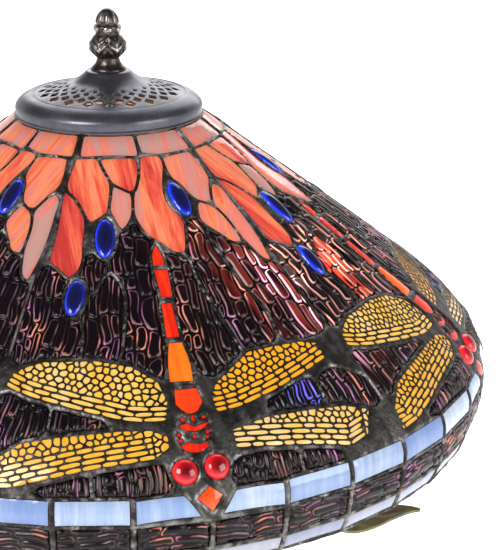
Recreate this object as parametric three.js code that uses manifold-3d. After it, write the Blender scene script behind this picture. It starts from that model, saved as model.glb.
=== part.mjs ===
// A stained glass table lamp: a leaded shade with six hanging-head dragonflies, on a cast stem with leaves.
// Millimetres, +Z up. The origin is on the lamp's axis, on the surface that it stands on. The front faces -Y.
import * as THREE from "three";
import { ParametricGeometry } from "three/addons/geometries/ParametricGeometry.js";
import { mergeVertices } from "three/addons/utils/BufferGeometryUtils.js";
import Module from "manifold-3d";

const wasm = await Module();
wasm.setup();

// ---- Driving dimensions ----
const BELLY_Z = 426; // height of the shade's widest ring
const SHADE_R = 254; // radius of that ring: a shade 508 mm (20 inches) across
const TOP_R = 62.3; // the shade's upper edge, under the cap
const TOP_RISE = 165; // that edge above the widest ring
const SHOULDER_R = 206; // where the straight cone starts to curve
const SHOULDER_RISE = 56.3;
const RIM_R = 245.5; // the shade's lower edge
const RIM_DROP = 36; // that edge below the widest ring
const GLASS = 3; // thickness of the glass
const GAP = 0.3; // between pieces that touch
const SHADE_STEPS = 36; // facets round the shade
const TURN_STEPS = 20; // facets round a turned piece
const DRAGONFLIES = 6;
const DRAGONFLY_TURN = 11.7; // degrees from the front to the first dragonfly
const LEAVES = 5;
const FIRST_LEAF = 72; // degrees from the front to the first leaf
const LIGHTS = 3;
const FIRST_LIGHT = 50; // degrees from the front to the first bulb
const LIGHT_Z = BELLY_Z + 36; // height of the cluster, where the lampholders' axes meet
const LIGHT_TILT = 5; // degrees that each lampholder points above level
const PIPE_R = 4.8; // the threaded centre pipes, and their bore
const PIPE_BORE = 3.2;
const FOOT_R = 110;

// Lengths down the shade's outline, from its upper edge, where one row of glass ends and the next starts.
const CROWN_END = 17;
const BORDER_START = 243;
const BORDER_END = 260;
const SKIRT_END = 280;
const CAME = 1.7; // half the width of a lead line

// ---- Materials ----
const finish = (color, roughness, metalness) =>
  new THREE.MeshStandardMaterial({ color, roughness, metalness });
const MATERIALS = {
  darkBronze: finish(0x2c2a2e, 0.35, 0.9),
  castBronze: finish(0x4a3a28, 0.45, 0.85),
  leafBronze: finish(0x55583a, 0.45, 0.8),
  brass: finish(0xb08a4a, 0.3, 1),
  steel: finish(0x8d9094, 0.35, 1),
  iron: finish(0x3b3b3d, 0.7, 0.8),
  felt: finish(0x1f3326, 1, 0),
  phenolic: finish(0x17120f, 0.3, 0),
  bulbGlass: finish(0xfff1d8, 0.2, 0),
  lead: finish(0x2e2a28, 0.4, 0.8),
  peachGlass: finish(0xf07b5a, 0.15, 0),
  plumGlass: finish(0x2a1420, 0.1, 0),
  blueGlass: finish(0xa9bfe8, 0.15, 0),
  paleGlass: finish(0xd9dcec, 0.15, 0),
  wingBrass: finish(0xd69a35, 0.3, 0.4),
};

// ---- Solids ----
const lamp = new THREE.Group();
const shade = new THREE.Group(); // turned so that its zero angle is the first dragonfly's middle
shade.rotation.z = THREE.MathUtils.degToRad(DRAGONFLY_TURN);
lamp.add(shade);

function place(name, geometry, material, parent = lamp) {
  const mesh = new THREE.Mesh(geometry, MATERIALS[material]);
  mesh.name = name;
  parent.add(mesh);
  return mesh;
}

// A point at a radius, a height and an angle in degrees from the front, towards +X.
function polar(radius, height, degrees, target = new THREE.Vector3()) {
  const angle = THREE.MathUtils.degToRad(degrees);
  return target.set(radius * Math.sin(angle), -radius * Math.cos(angle), height);
}

// A piece turned about +Z from [radius, height] points. An outline that stays off the axis closes on itself.
function turned(outline, steps = TURN_STEPS) {
  const points = outline.map(([radius, height]) => new THREE.Vector2(radius, height));
  const area = THREE.ShapeUtils.area(points);
  if (area < 0) points.reverse();
  if (points[0].x > 0) points.push(points[0].clone());
  return new THREE.LatheGeometry(points, steps).rotateX(Math.PI / 2);
}

const tube = (outer, inner, low, high, steps) =>
  turned([[inner, low], [outer, low], [outer, high], [inner, high]], steps);

const rod = (radius, low, high, steps) => turned([[0, low], [radius, low], [radius, high], [0, high]], steps);

function solidOf(geometry) {
  const bare = new THREE.BufferGeometry();
  const loose = geometry.index ? geometry.toNonIndexed() : geometry;
  bare.setAttribute("position", loose.getAttribute("position"));
  const merged = mergeVertices(bare, 1e-3);
  return new wasm.Manifold(
    new wasm.Mesh({
      numProp: 3,
      vertProperties: merged.attributes.position.array,
      triVerts: new Uint32Array(merged.index.array),
    }),
  );
}

function geometryOf(solid) {
  const mesh = solid.getMesh();
  const geometry = new THREE.BufferGeometry();
  geometry.setAttribute("position", new THREE.BufferAttribute(mesh.vertProperties, 3));
  geometry.setIndex(new THREE.BufferAttribute(mesh.triVerts, 1));
  geometry.computeVertexNormals();
  return geometry;
}

const joined = (...geometries) => geometryOf(geometries.map(solidOf).reduce((sum, next) => sum.add(next)));

const cut = (geometry, ...cutters) =>
  geometryOf(cutters.map(solidOf).reduce((rest, next) => rest.subtract(next), solidOf(geometry)));

// A hexagonal prism with a round hole, across its flats.
function nut(flats, low, high, hole) {
  const body = new THREE.CylinderGeometry(flats / Math.sqrt(3), flats / Math.sqrt(3), high - low, 6)
    .rotateX(Math.PI / 2)
    .translate(0, 0, (low + high) / 2);
  return cut(body, rod(hole, low - 1, high + 1));
}

// ---- The shade's outline and its rows of glass ----
const outline = new THREE.Path()
  .moveTo(TOP_R, BELLY_Z + TOP_RISE)
  .lineTo(SHOULDER_R, BELLY_Z + SHOULDER_RISE)
  .quadraticCurveTo(SHADE_R, BELLY_Z + 20.2, SHADE_R, BELLY_Z + 2)
  .quadraticCurveTo(SHADE_R, BELLY_Z - 22, RIM_R, BELLY_Z - RIM_DROP);
const OUTLINE_LENGTH = outline.getLength();

// The point that lies a length down the outline, moved out along the surface's normal by a lift.
function onShade(length, lift, degrees, target) {
  const share = THREE.MathUtils.clamp(length / OUTLINE_LENGTH, 0, 1);
  const point = outline.getPointAt(share);
  const along = outline.getTangentAt(share);
  return polar(point.x - along.y * lift, point.y + along.x * lift, degrees, target);
}

// A ring of the shade's wall. lengthsAt gives the lengths of its rows at an angle.
// Its faces are lift and lift - wall from the outline.
function shadeRing(lengthsAt, lift = 0, wall = GLASS) {
  const rows = lengthsAt(0).length;
  const loop = 2 * rows;
  const surface = (u, v, target) => {
    const k = Math.round(u * loop) % loop;
    const lengths = lengthsAt(Math.round(v * SHADE_STEPS) * (360 / SHADE_STEPS));
    const outer = k < rows;
    onShade(lengths[outer ? k : loop - 1 - k], outer ? lift : lift - wall, v * 360, target);
  };
  return new ParametricGeometry(surface, loop, SHADE_STEPS);
}

const leadLine = (length) => shadeRing(() => [length - CAME, length + CAME], 0.8, GLASS + 1.6);

// The lower ends of the petals, every 10 degrees of a dragonfly's sixth, from 30 degrees to its left.
const PETAL_ENDS = [106, 101, 70, 78, 70, 88];
const petalEnd = (degrees) => PETAL_ENDS[Math.round(degrees / 10 + 3) % PETAL_ENDS.length];
// The rows of the field, where the cone ends and the shoulder curves.
const SHOULDER_ROWS = [180, 196, 212, 228];

function addShadeGlass() {
  const clear = CAME + GAP;
  const end = OUTLINE_LENGTH;
  const rows = {
    crown_glass: [() => [1, CROWN_END - clear], "peachGlass"],
    petal_glass: [(degrees) => [CROWN_END + clear, petalEnd(degrees)], "peachGlass"],
    field_glass: [
      (degrees) => [petalEnd(degrees) + 2 * GAP, ...SHOULDER_ROWS, BORDER_START - clear], "plumGlass",
    ],
    border_glass: [() => [BORDER_START + clear, 251.5, BORDER_END - clear], "blueGlass"],
    skirt_glass: [() => [BORDER_END + clear, 270, SKIRT_END - clear], "plumGlass"],
    edge_glass: [() => [SKIRT_END + clear, end - 2 - GAP], "paleGlass"],
  };
  for (const [name, [lengthsAt, material]] of Object.entries(rows)) {
    place(name, shadeRing(lengthsAt), material, shade);
  }
  place("crown_came", leadLine(CROWN_END), "lead", shade);
  place("border_upper_came", leadLine(BORDER_START), "lead", shade);
  place("border_lower_came", leadLine(BORDER_END), "lead", shade);
  place("skirt_came", leadLine(SKIRT_END), "lead", shade);
  place("rim_band", shadeRing(() => [end - 2, end], 0.8, GLASS + 1.6), "lead", shade);
}

// ---- Dragonflies: thin plates over the glass, as [degrees from the body, length down the outline] ----
const TAIL_RIGHT = [[-0.4, 82], [1.4, 100], [2.2, 186]];
const UPPER_RIGHT_WING = [[3.2, 181], [12, 162.5], [19, 161], [25, 167], [25.5, 183], [13, 195], [2.6, 201]];
const LOWER_RIGHT_WING = [
  [2.6, 207], [10, 204.5], [24, 211], [27.3, 219], [23, 238], [15, 230.5], [5, 226.5],
];
const HEAD = [[3.2, 230], [-0.8, 238], [-5.2, 231.5]];
const LOWER_LEFT_WING = [
  [-6, 226], [-17, 231], [-22, 237], [-28.8, 238], [-29.2, 224], [-20, 207], [-4.6, 206],
];
const UPPER_LEFT_WING = [
  [-10, 201.5], [-20, 191.5], [-29.6, 181.5], [-28.8, 168], [-24.5, 161], [-12, 161], [-3.9, 186],
];
const TAIL_LEFT = [[-2.4, 100]];

function dragonflyPlate() {
  // The outline is drawn on a plane that touches the cone. The plate is what its prism keeps of a thin shell.
  const centre = onShade(170, 0, 0);
  const down = onShade(180, 0, 0).sub(centre).normalize();
  const across = new THREE.Vector3(1, 0, 0);
  const out = new THREE.Vector3().crossVectors(down, across);
  const points = [
    ...TAIL_RIGHT, ...UPPER_RIGHT_WING, ...LOWER_RIGHT_WING, ...HEAD,
    ...LOWER_LEFT_WING, ...UPPER_LEFT_WING, ...TAIL_LEFT,
  ].map(([degrees, length]) => {
    const offset = onShade(length, 0, degrees).sub(centre);
    return new THREE.Vector2(offset.dot(across), -offset.dot(down));
  });
  const REACH = 90;
  const prism = new THREE.ExtrudeGeometry(new THREE.Shape(points), { depth: 2 * REACH, bevelEnabled: false });
  prism.translate(0, 0, -REACH);
  prism.applyMatrix4(new THREE.Matrix4().makeBasis(across, down.clone().negate(), out).setPosition(centre));
  const LIFT = 1.7;
  const shell = shadeRing(() => [80, ...SHOULDER_ROWS, BORDER_START - CAME - 2 * GAP], LIFT, LIFT - 0.4);
  return solidOf(shell).intersect(solidOf(prism));
}

function addDragonflies() {
  // The shell's facets repeat every 10 degrees, so the plate is cut in front and then turned by whole facets.
  const plate = geometryOf(dragonflyPlate());
  for (let k = 0; k < DRAGONFLIES; k++) {
    const mesh = place(`dragonfly_${k + 1}`, plate, "wingBrass", shade);
    mesh.rotation.z = THREE.MathUtils.degToRad((k * 360) / DRAGONFLIES);
  }
}

// ---- Cap, finial and what holds the shade ----
const CAP_BASE = BELLY_Z + TOP_RISE; // the cap's lower edge rests on the shade's upper edge
const CAP_WALL = 1.2;
const CAP_RISE = 28.4;
const CAP_SHOULDER_R = 58; // inside this the cap is nearly flat
const FINIAL_BASE = CAP_BASE + CAP_RISE + GAP;
// The cap's outside, from its lower edge to its neck, as [radius, height above the lower edge].
const CAP_OUTLINE = [
  [61.8, 0.4], [61.3, 6], [59.9, 8.9], [55.2, 12.4], [50.7, 13.9], [48, 14.2],
  [38, 17], [28, 20], [20.8, 23.1], [15.4, 27.4], [14.3, CAP_RISE],
];

function cap() {
  const outside = CAP_OUTLINE.map(([radius, rise]) => [radius, CAP_BASE + rise]);
  const inside = CAP_OUTLINE.map(([radius, rise]) => {
    const drop = radius < CAP_SHOULDER_R ? CAP_WALL : 0;
    return [radius - CAP_WALL, CAP_BASE + rise - drop];
  });
  const bore = PIPE_R + GAP;
  const shell = turned([
    ...outside, [bore, CAP_BASE + CAP_RISE], [bore, CAP_BASE + CAP_RISE - CAP_WALL], ...inside.reverse(),
  ], 24);
  const HOLES = 12;
  const holes = Array.from({ length: HOLES }, (_, k) => {
    const hole = new THREE.BoxGeometry(4.2, 4.2, 20).rotateZ(Math.PI / 4);
    hole.translate(0, -42, CAP_BASE + CAP_RISE / 2);
    return hole.rotateZ((k * 2 * Math.PI) / HOLES);
  });
  return cut(shell, ...holes);
}

// The finial: a flared foot, a leafy bulb and an acorn, as [radius, height above its base].
const FINIAL_OUTLINE = [
  [11.2, 0], [11.2, 1], [8.4, 4.6], [7.1, 8.8], [10.6, 11.4], [12, 15.6], [10.6, 20], [7.8, 23.8],
  [9.6, 27.4], [8.8, 29.6], [6.9, 33.6], [4.6, 37.6], [2, 39.8], [0, 40.2],
];

function addTop() {
  const bore = PIPE_R + GAP;
  const finial = FINIAL_OUTLINE.map(([radius, rise]) => [radius, FINIAL_BASE + rise]);
  const pipeEnd = FINIAL_BASE + 14;
  place("finial", turned([[0, pipeEnd], [bore, pipeEnd], [bore, FINIAL_BASE], ...finial], 16), "darkBronze");
  place("vented_cap", cap(), "darkBronze");
  place("top_ring", tube(60, 54.5, CAP_BASE - 1.5, CAP_BASE + 2.5, 24), "brass");

  const SEAT_HIGH = CAP_BASE - 1.8;
  const SEAT_LOW = SEAT_HIGH - 3.2;
  const spokes = [0, 1].map((k) =>
    new THREE.BoxGeometry(108, 9, SEAT_HIGH - SEAT_LOW)
      .rotateZ((k * Math.PI) / 2)
      .translate(0, 0, (SEAT_HIGH + SEAT_LOW) / 2),
  );
  const hole = rod(bore, SEAT_LOW - 1, SEAT_HIGH + 1);
  const wheel = joined(tube(58, 50, SEAT_LOW, SEAT_HIGH), ...spokes);
  place("shade_seat", cut(wheel, hole), "brass");
  place("seat_nut", nut(16, SEAT_LOW - 5.3, SEAT_LOW - GAP, bore), "brass");
}

// ---- Cluster, lampholders and bulbs ----
const CLUSTER_R = 21;
const CLUSTER_LOW = LIGHT_Z - 15;
const CLUSTER_HIGH = LIGHT_Z + 15;
const ARM_END = 34; // from the lamp's axis to the lampholder's cap

function lightGroup(k) {
  const group = new THREE.Group();
  group.position.set(0, 0, LIGHT_Z);
  // Local +Z is the lampholder's axis, pointing out and a little up. Local +Y stays on the lamp's upper side.
  const degrees = FIRST_LIGHT + (k * 360) / LIGHTS;
  const outward = polar(1, 0, degrees);
  const tilt = THREE.MathUtils.degToRad(LIGHT_TILT);
  const axis = outward.multiplyScalar(Math.cos(tilt)).add(new THREE.Vector3(0, 0, Math.sin(tilt)));
  const side = new THREE.Vector3(0, 0, 1).cross(axis).normalize();
  group.setRotationFromMatrix(new THREE.Matrix4().makeBasis(side, axis.clone().cross(side), axis));
  return group;
}

function clusterBody() {
  const arms = Array.from({ length: LIGHTS }, (_, k) => {
    const group = lightGroup(k);
    group.updateMatrix();
    return rod(7, 8, ARM_END, 16).applyMatrix4(group.matrix);
  });
  const body = turned([
    [0, CLUSTER_LOW], [15, CLUSTER_LOW], [CLUSTER_R, CLUSTER_LOW + 6], [CLUSTER_R, CLUSTER_HIGH],
    [0, CLUSTER_HIGH],
  ]);
  const room = rod(CLUSTER_R - 3, LIGHT_Z - 8, CLUSTER_HIGH + 1);
  const pipeHole = rod(PIPE_R + GAP, CLUSTER_LOW - 1, LIGHT_Z);
  return cut(joined(body, ...arms), room, pipeHole);
}

const SOCKET = { cap: ARM_END + GAP, shell: 50, mouth: 92, r: 17.5 };

function addLight(k) {
  const group = lightGroup(k);
  const n = k + 1;
  lamp.add(group);
  place(`socket_cap_${n}`, turned([
    [0, SOCKET.cap], [9, SOCKET.cap], [SOCKET.r - 1, SOCKET.cap + 7], [SOCKET.r, SOCKET.shell - GAP],
    [SOCKET.r - 1.2, SOCKET.shell - GAP], [8, SOCKET.cap + 3], [0, SOCKET.cap + 3],
  ]), "brass", group);
  const keyAt = SOCKET.shell + 9;
  const bush = new THREE.CylinderGeometry(4.4, 4.4, 12, 12).translate(0, -SOCKET.r, keyAt);
  const wall = tube(SOCKET.r, SOCKET.r - 1.2, SOCKET.shell, SOCKET.mouth);
  place(`socket_shell_${n}`, cut(wall, bush), "brass", group);
  // The moulded core carries the switch and the threaded screw shell, and is open to the bulb.
  const core = turned([
    [0, SOCKET.shell + 1], [15.8, SOCKET.shell + 1], [15.8, SOCKET.mouth - 2], [13.8, SOCKET.mouth - 2],
    [13.8, SOCKET.shell + 19], [0, SOCKET.shell + 19],
  ]);
  const keyHole = new THREE.CylinderGeometry(2.6, 2.6, 12, 12).translate(0, -13, keyAt);
  place(`socket_core_${n}`, cut(core, keyHole), "phenolic", group);
  // The key turns on a stem that runs into the core, at right angles to the lampholder.
  const stem = turned([[0, 0], [2.2, 0], [2.2, 12.5], [3.4, 12.5], [3.4, 15.5], [0, 15.5]], 12);
  const wing = new THREE.BoxGeometry(3.2, 13, 8).translate(0, 0, 19);
  const key = joined(stem, wing).rotateX(Math.PI / 2).translate(0, -9, keyAt);
  place(`socket_key_${n}`, key, "phenolic", group);
  place(`bulb_base_${n}`, turned([
    [0, SOCKET.shell + 20], [5, SOCKET.shell + 20], [12.9, SOCKET.shell + 24], [12.9, SOCKET.mouth + 1],
    [0, SOCKET.mouth + 1],
  ], 16), "brass", group);
  const neck = SOCKET.mouth + 1 + GAP;
  place(`bulb_glass_${n}`, turned([
    [0, neck], [13, neck], [14.5, neck + 12], [21, neck + 26], [28, neck + 41], [30, neck + 54],
    [27, neck + 68], [18, neck + 79], [8, neck + 83.5], [0, neck + 84.5],
  ], 16), "bulbGlass", group);
}

// ---- Foot, stem and leaves ----
const FELT = 2.5; // thickness of the felt under the foot
const STEM_LOW = 62;
const HUB_LOW = BELLY_Z - 118;
const HUB_HIGH = HUB_LOW + 26;

function addFoot() {
  place("felt_pad", tube(FOOT_R - 3, 14, 0, FELT, 24), "felt");
  const foot = turned([
    [FOOT_R, FELT + GAP], [FOOT_R, 8], [FOOT_R - 5, 13], [88, 18], [62, 27], [40, 41], [26, 55],
    [19, STEM_LOW - GAP], [PIPE_R + GAP, STEM_LOW - GAP], [PIPE_R + GAP, 48], [20, 48], [34, 36], [58, 21],
    [92, 10], [FOOT_R - 6, 6], [FOOT_R - 6, FELT + GAP],
  ], 24);
  const cordHole = new THREE.CylinderGeometry(5.2, 5.2, 40, 16).translate(0, FOOT_R, 8.6);
  place("foot", cut(foot, cordHole), "castBronze");
  const weight = [[16, FELT + 0.4], [86, FELT + 0.4], [84, 9.2], [56, 18], [34, 32], [16, 32]];
  place("foot_weight", turned(weight, 24), "iron");
  place("bottom_washer", tube(13, PIPE_R + GAP, 45.4, 47.7), "steel");
  place("bottom_nut", nut(15, 38, 45.1, PIPE_R + GAP), "steel");
  const bushing = tube(4.8, 3.2, 0, 12, 16).rotateX(Math.PI / 2).translate(0, FOOT_R + 2, 8.6);
  place("cord_bushing", bushing, "phenolic");
  place("lamp_pipe", tube(PIPE_R, PIPE_BORE, 34, LIGHT_Z - 2, 16), "steel");
  place("riser_pipe", tube(PIPE_R, PIPE_BORE, CLUSTER_HIGH - 4, FINIAL_BASE + 12, 16), "steel");
}

function addStem() {
  const bore = PIPE_R + GAP;
  place("stem", turned([
    [19, STEM_LOW], [21, STEM_LOW + 6], [17, STEM_LOW + 16], [15, STEM_LOW + 60], [13, HUB_LOW - 60],
    [13.5, HUB_LOW - 20], [17, HUB_LOW - GAP], [bore, HUB_LOW - GAP], [bore, STEM_LOW],
  ]), "castBronze");
  place("leaf_hub", turned([
    [17, HUB_LOW], [19, HUB_LOW + 5], [19, HUB_HIGH - 6], [15, HUB_HIGH], [bore, HUB_HIGH], [bore, HUB_LOW],
  ]), "castBronze");
  place("neck", turned([
    [14, HUB_HIGH + GAP], [10, HUB_HIGH + 8], [8.5, HUB_HIGH + 30], [9.5, CLUSTER_LOW - 14],
    [14, CLUSTER_LOW - 5], [15, CLUSTER_LOW - GAP], [bore, CLUSTER_LOW - GAP], [bore, HUB_HIGH + GAP],
  ]), "castBronze");
}

const LEAF_START = 19.4; // the leaf's root meets the hub
const LEAF_END = 217;
const LEAF_HALF_WIDTH = 35;
const LEAF_WALL = 2.4;
const LEAF_STATIONS = 9;
const LEAF_COLUMNS = 4;

// A leaf blade that runs out from the hub, dips, and turns up at its tip, with a valley along its rib.
function leafBlade() {
  const rib = new THREE.CatmullRomCurve3([
    new THREE.Vector3(0, -LEAF_START, HUB_LOW + 14),
    new THREE.Vector3(0, -60, HUB_LOW + 30),
    new THREE.Vector3(0, -115, HUB_LOW + 20),
    new THREE.Vector3(0, -172, HUB_LOW + 6),
    new THREE.Vector3(0, -LEAF_END, HUB_LOW + 17),
  ]);
  const belly = (t) => Math.sin(Math.PI * Math.pow(t, 1.25)) * (1 - 0.25 * t);
  const halfWidth = (t) => 5 + LEAF_HALF_WIDTH * belly(t) - 4.2 * t;
  const surface = (u, v, target) => {
    // Round the section: across the upper face and back across the lower one.
    const loop = 2 * (LEAF_COLUMNS + 1);
    const k = Math.round(u * loop) % loop;
    const upper = k <= LEAF_COLUMNS;
    const x = 1 - ((upper ? k : loop - 1 - k) / LEAF_COLUMNS) * 2;
    const width = halfWidth(v);
    const point = rib.getPoint(v);
    const cup = 0.28 * Math.abs(x) * width * Math.sin(Math.PI * Math.min(1, v * 1.15));
    target.set(x * width, point.y, point.z + cup + (upper ? LEAF_WALL / 2 : -LEAF_WALL / 2));
  };
  const loopSteps = 2 * (LEAF_COLUMNS + 1);
  const sides = new ParametricGeometry(surface, loopSteps, LEAF_STATIONS);
  return closeEnds(sides, loopSteps, LEAF_STATIONS);
}

// Closes the two ends of a tube made by ParametricGeometry, each with a fan of triangles.
function closeEnds(geometry, around, along) {
  const index = Array.from(geometry.index.array);
  const ring = around + 1;
  for (const [start, flip] of [[0, true], [along * ring, false]]) {
    for (let k = 1; k < around - 1; k++) {
      index.push(start, start + k + (flip ? 1 : 0), start + k + (flip ? 0 : 1));
    }
  }
  const closed = new THREE.BufferGeometry();
  return closed.setAttribute("position", geometry.getAttribute("position")).setIndex(index);
}

function addLeaves() {
  const blade = leafBlade();
  for (let k = 0; k < LEAVES; k++) {
    const mesh = place(`leaf_${k + 1}`, blade, "leafBronze");
    mesh.rotation.z = THREE.MathUtils.degToRad(FIRST_LEAF + (k * 360) / LEAVES);
  }
}

addFoot();
addStem();
addLeaves();
place("cluster_body", clusterBody(), "brass");
place("cluster_cover", turned([
  [CLUSTER_R, CLUSTER_HIGH + GAP], [CLUSTER_R - 1, CLUSTER_HIGH + 3], [10, CLUSTER_HIGH + 8],
  [PIPE_R + GAP, CLUSTER_HIGH + 8], [PIPE_R + GAP, CLUSTER_HIGH + GAP],
]), "brass");
for (let k = 0; k < LIGHTS; k++) addLight(k);
addTop();
addShadeGlass();
addDragonflies();

export default lamp;
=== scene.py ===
"""A stained glass table lamp with six dragonflies on its shade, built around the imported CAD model.

Lengths are in millimetres until a mesh is made, and azimuths are in degrees from the front (-Y) towards +X.
A point of the shade is (degrees, length): degrees from a dragonfly's middle, and length down the outline.
"""

import math

import bpy
import numpy as np
from mathutils import Matrix, Vector
from mathutils.geometry import delaunay_2d_cdt


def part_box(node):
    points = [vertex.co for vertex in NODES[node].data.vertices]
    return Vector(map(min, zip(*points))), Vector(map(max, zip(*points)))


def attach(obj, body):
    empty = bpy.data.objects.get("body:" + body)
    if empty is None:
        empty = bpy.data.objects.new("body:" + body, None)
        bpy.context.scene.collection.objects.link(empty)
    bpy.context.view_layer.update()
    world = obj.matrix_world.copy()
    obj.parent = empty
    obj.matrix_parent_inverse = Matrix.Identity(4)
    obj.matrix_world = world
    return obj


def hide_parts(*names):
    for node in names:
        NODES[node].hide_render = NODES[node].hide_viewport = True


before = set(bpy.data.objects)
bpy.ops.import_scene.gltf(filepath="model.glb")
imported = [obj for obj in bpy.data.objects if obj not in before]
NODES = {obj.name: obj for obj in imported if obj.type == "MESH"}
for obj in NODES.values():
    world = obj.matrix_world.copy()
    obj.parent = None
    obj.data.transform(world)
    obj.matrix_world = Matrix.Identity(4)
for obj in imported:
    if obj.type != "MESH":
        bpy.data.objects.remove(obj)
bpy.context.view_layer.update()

# ---- Driving dimensions, from the part ----
MM = 0.001
TOP_R, TOP_RISE = 62.3, 165.0
SHOULDER_R, SHOULDER_RISE = 206.0, 56.3
SHADE_R = 254.0
RIM_R, RIM_DROP = 245.5, 36.0
RIM_LIP = 0.4  # how far the rim band reaches below the glass
BELLY_Z = round(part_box("rim_band")[0].z / MM + RIM_DROP + RIM_LIP)  # the shade's widest height
DRAGONFLIES = 6
SECTOR = 360 / DRAGONFLIES
FIRST_DRAGONFLY = 11.7
FACET = 10.0  # from joint to joint of the lower rows
FACETED_FROM, FACETED_OVER = 205, 30  # where down the outline the shade turns from round to faceted
CAP_BASE = BELLY_Z + TOP_RISE
FINIAL_BASE = CAP_BASE + 28.7
LIGHTS = 3
FIRST_LIGHT = 50.0
LIGHT_Z = BELLY_Z + 36.0
LEAVES = 5
FIRST_LEAF = 72.0
HUB_LOW = BELLY_Z - 118.0

SHADE_BODY, LAMP_BODY = "shade", "lamp"


def placed(name, data):
    """A new object in the scene."""
    obj = bpy.data.objects.new(name, data)
    bpy.context.scene.collection.objects.link(obj)
    return obj


# ---- Camera ----
CAMERA_AWAY, CAMERA_ABOVE_BELLY = 992.3, 405.2
CAMERA_TURN = (5.40, 19.67, 0.42)  # degrees to the right, down, and rolled


def add_camera():
    data = bpy.data.cameras.new("camera")
    data.lens = 100.46
    data.sensor_width = 36
    data.clip_start, data.clip_end = 0.05, 60
    camera = placed("camera", data)
    right, down, roll = (math.radians(v) for v in CAMERA_TURN)
    turn = Matrix.Rotation(-right, 4, "Z") @ Matrix.Rotation(math.pi / 2 - down, 4, "X")
    turn = turn @ Matrix.Rotation(roll, 4, "Z")
    place = Vector((0, -CAMERA_AWAY, BELLY_Z + CAMERA_ABOVE_BELLY)) * MM
    camera.matrix_world = Matrix.Translation(place) @ turn
    bpy.context.scene.camera = camera


# ---- Numbers that look random and never change ----
MIX_I, MIX_J, MIX_SEED, MIX_LAST = 374761393, 668265263, 1274126177, 2246822519  # large odd numbers
LOW_BITS = 0xFFFFFFFF


def hashed(i, j, seed):
    """A number from 0 to 1 for each pair of whole numbers."""
    n = (i.astype(np.int64) * MIX_I + j.astype(np.int64) * MIX_J + int(seed) * MIX_SEED) & LOW_BITS
    n = ((n ^ (n >> 13)) * MIX_SEED) & LOW_BITS
    n = ((n ^ (n >> 16)) * MIX_LAST) & LOW_BITS
    return (n ^ (n >> 15)).astype(float) / LOW_BITS


def soft_noise(x, y, seed):
    """Smooth noise from -1 to 1, with features one unit across."""
    i, j = np.floor(x), np.floor(y)
    u, v = x - i, y - j
    u, v = u * u * (3 - 2 * u), v * v * (3 - 2 * v)
    low = hashed(i, j, seed) * (1 - u) + hashed(i + 1, j, seed) * u
    high = hashed(i, j + 1, seed) * (1 - u) + hashed(i + 1, j + 1, seed) * u
    return 2 * (low * (1 - v) + high * v) - 1


# ---- The shade's surface ----
CURVE_STEPS = 48  # pieces of each of the outline's two curves


def bezier(start, middle, end):
    t = np.linspace(0, 1, CURVE_STEPS + 1)[1:, None]
    start, middle, end = map(np.array, (start, middle, end))
    return (1 - t) ** 2 * start + 2 * (1 - t) * t * middle + t**2 * end


def shade_outline():
    belly = (SHADE_R, BELLY_Z + 2.0)
    shoulder = (SHOULDER_R, BELLY_Z + SHOULDER_RISE)
    points = [np.array([(TOP_R, BELLY_Z + TOP_RISE), shoulder])]
    points.append(bezier(shoulder, (253.8, BELLY_Z + 20.2), belly))
    points.append(bezier(belly, (SHADE_R, BELLY_Z - 22.0), (RIM_R, BELLY_Z - RIM_DROP)))
    return np.vstack(points)


OUTLINE = shade_outline()
STEPS = np.hypot(*np.diff(OUTLINE, axis=0).T)
LENGTHS = np.concatenate([[0], np.cumsum(STEPS)])
OUTLINE_LENGTH = LENGTHS[-1]
DIRECTIONS = np.diff(OUTLINE, axis=0) / STEPS[:, None]
DIRECTION_LENGTHS = (LENGTHS[1:] + LENGTHS[:-1]) / 2
CONE = (SHOULDER_R - TOP_R) / LENGTHS[1]  # how fast the cone widens down its slope
APEX = TOP_R / CONE  # from the cone's point to the shade's upper edge


def on_shade(degrees, length, lift, turn):
    """Points in metres, lifted off the outline. The lower rows are flat from joint to joint."""
    radius = np.interp(length, LENGTHS, OUTLINE[:, 0])
    height = np.interp(length, LENGTHS, OUTLINE[:, 1])
    out_r = -np.interp(length, DIRECTION_LENGTHS, DIRECTIONS[:, 1])
    out_z = np.interp(length, DIRECTION_LENGTHS, DIRECTIONS[:, 0])
    facet = math.cos(math.radians(FACET / 2)) / np.cos(np.radians(np.mod(degrees, FACET) - FACET / 2))
    flat = np.clip((length - FACETED_FROM) / FACETED_OVER, 0, 1)
    radius = (radius + out_r * lift) * (1 + flat * (facet - 1))
    angle = np.radians(degrees + FIRST_DRAGONFLY + turn)
    points = np.stack([radius * np.sin(angle), -radius * np.cos(angle), height + out_z * lift], axis=-1)
    return points * MM


def flatten(points):
    """(degrees, length) points on the unrolled cone, where distances are true. The slope's top is up."""
    points = np.asarray(points, float)
    reach = APEX + points[..., 1]
    angle = np.radians(points[..., 0]) * CONE
    return np.stack([reach * np.sin(angle), -reach * np.cos(angle)], axis=-1)


def roll_up(points):
    """The inverse of flatten: (degrees, length)."""
    reach = np.hypot(points[..., 0], points[..., 1])
    angle = np.arctan2(points[..., 0], -points[..., 1])
    return np.degrees(angle / CONE), reach - APEX


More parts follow.
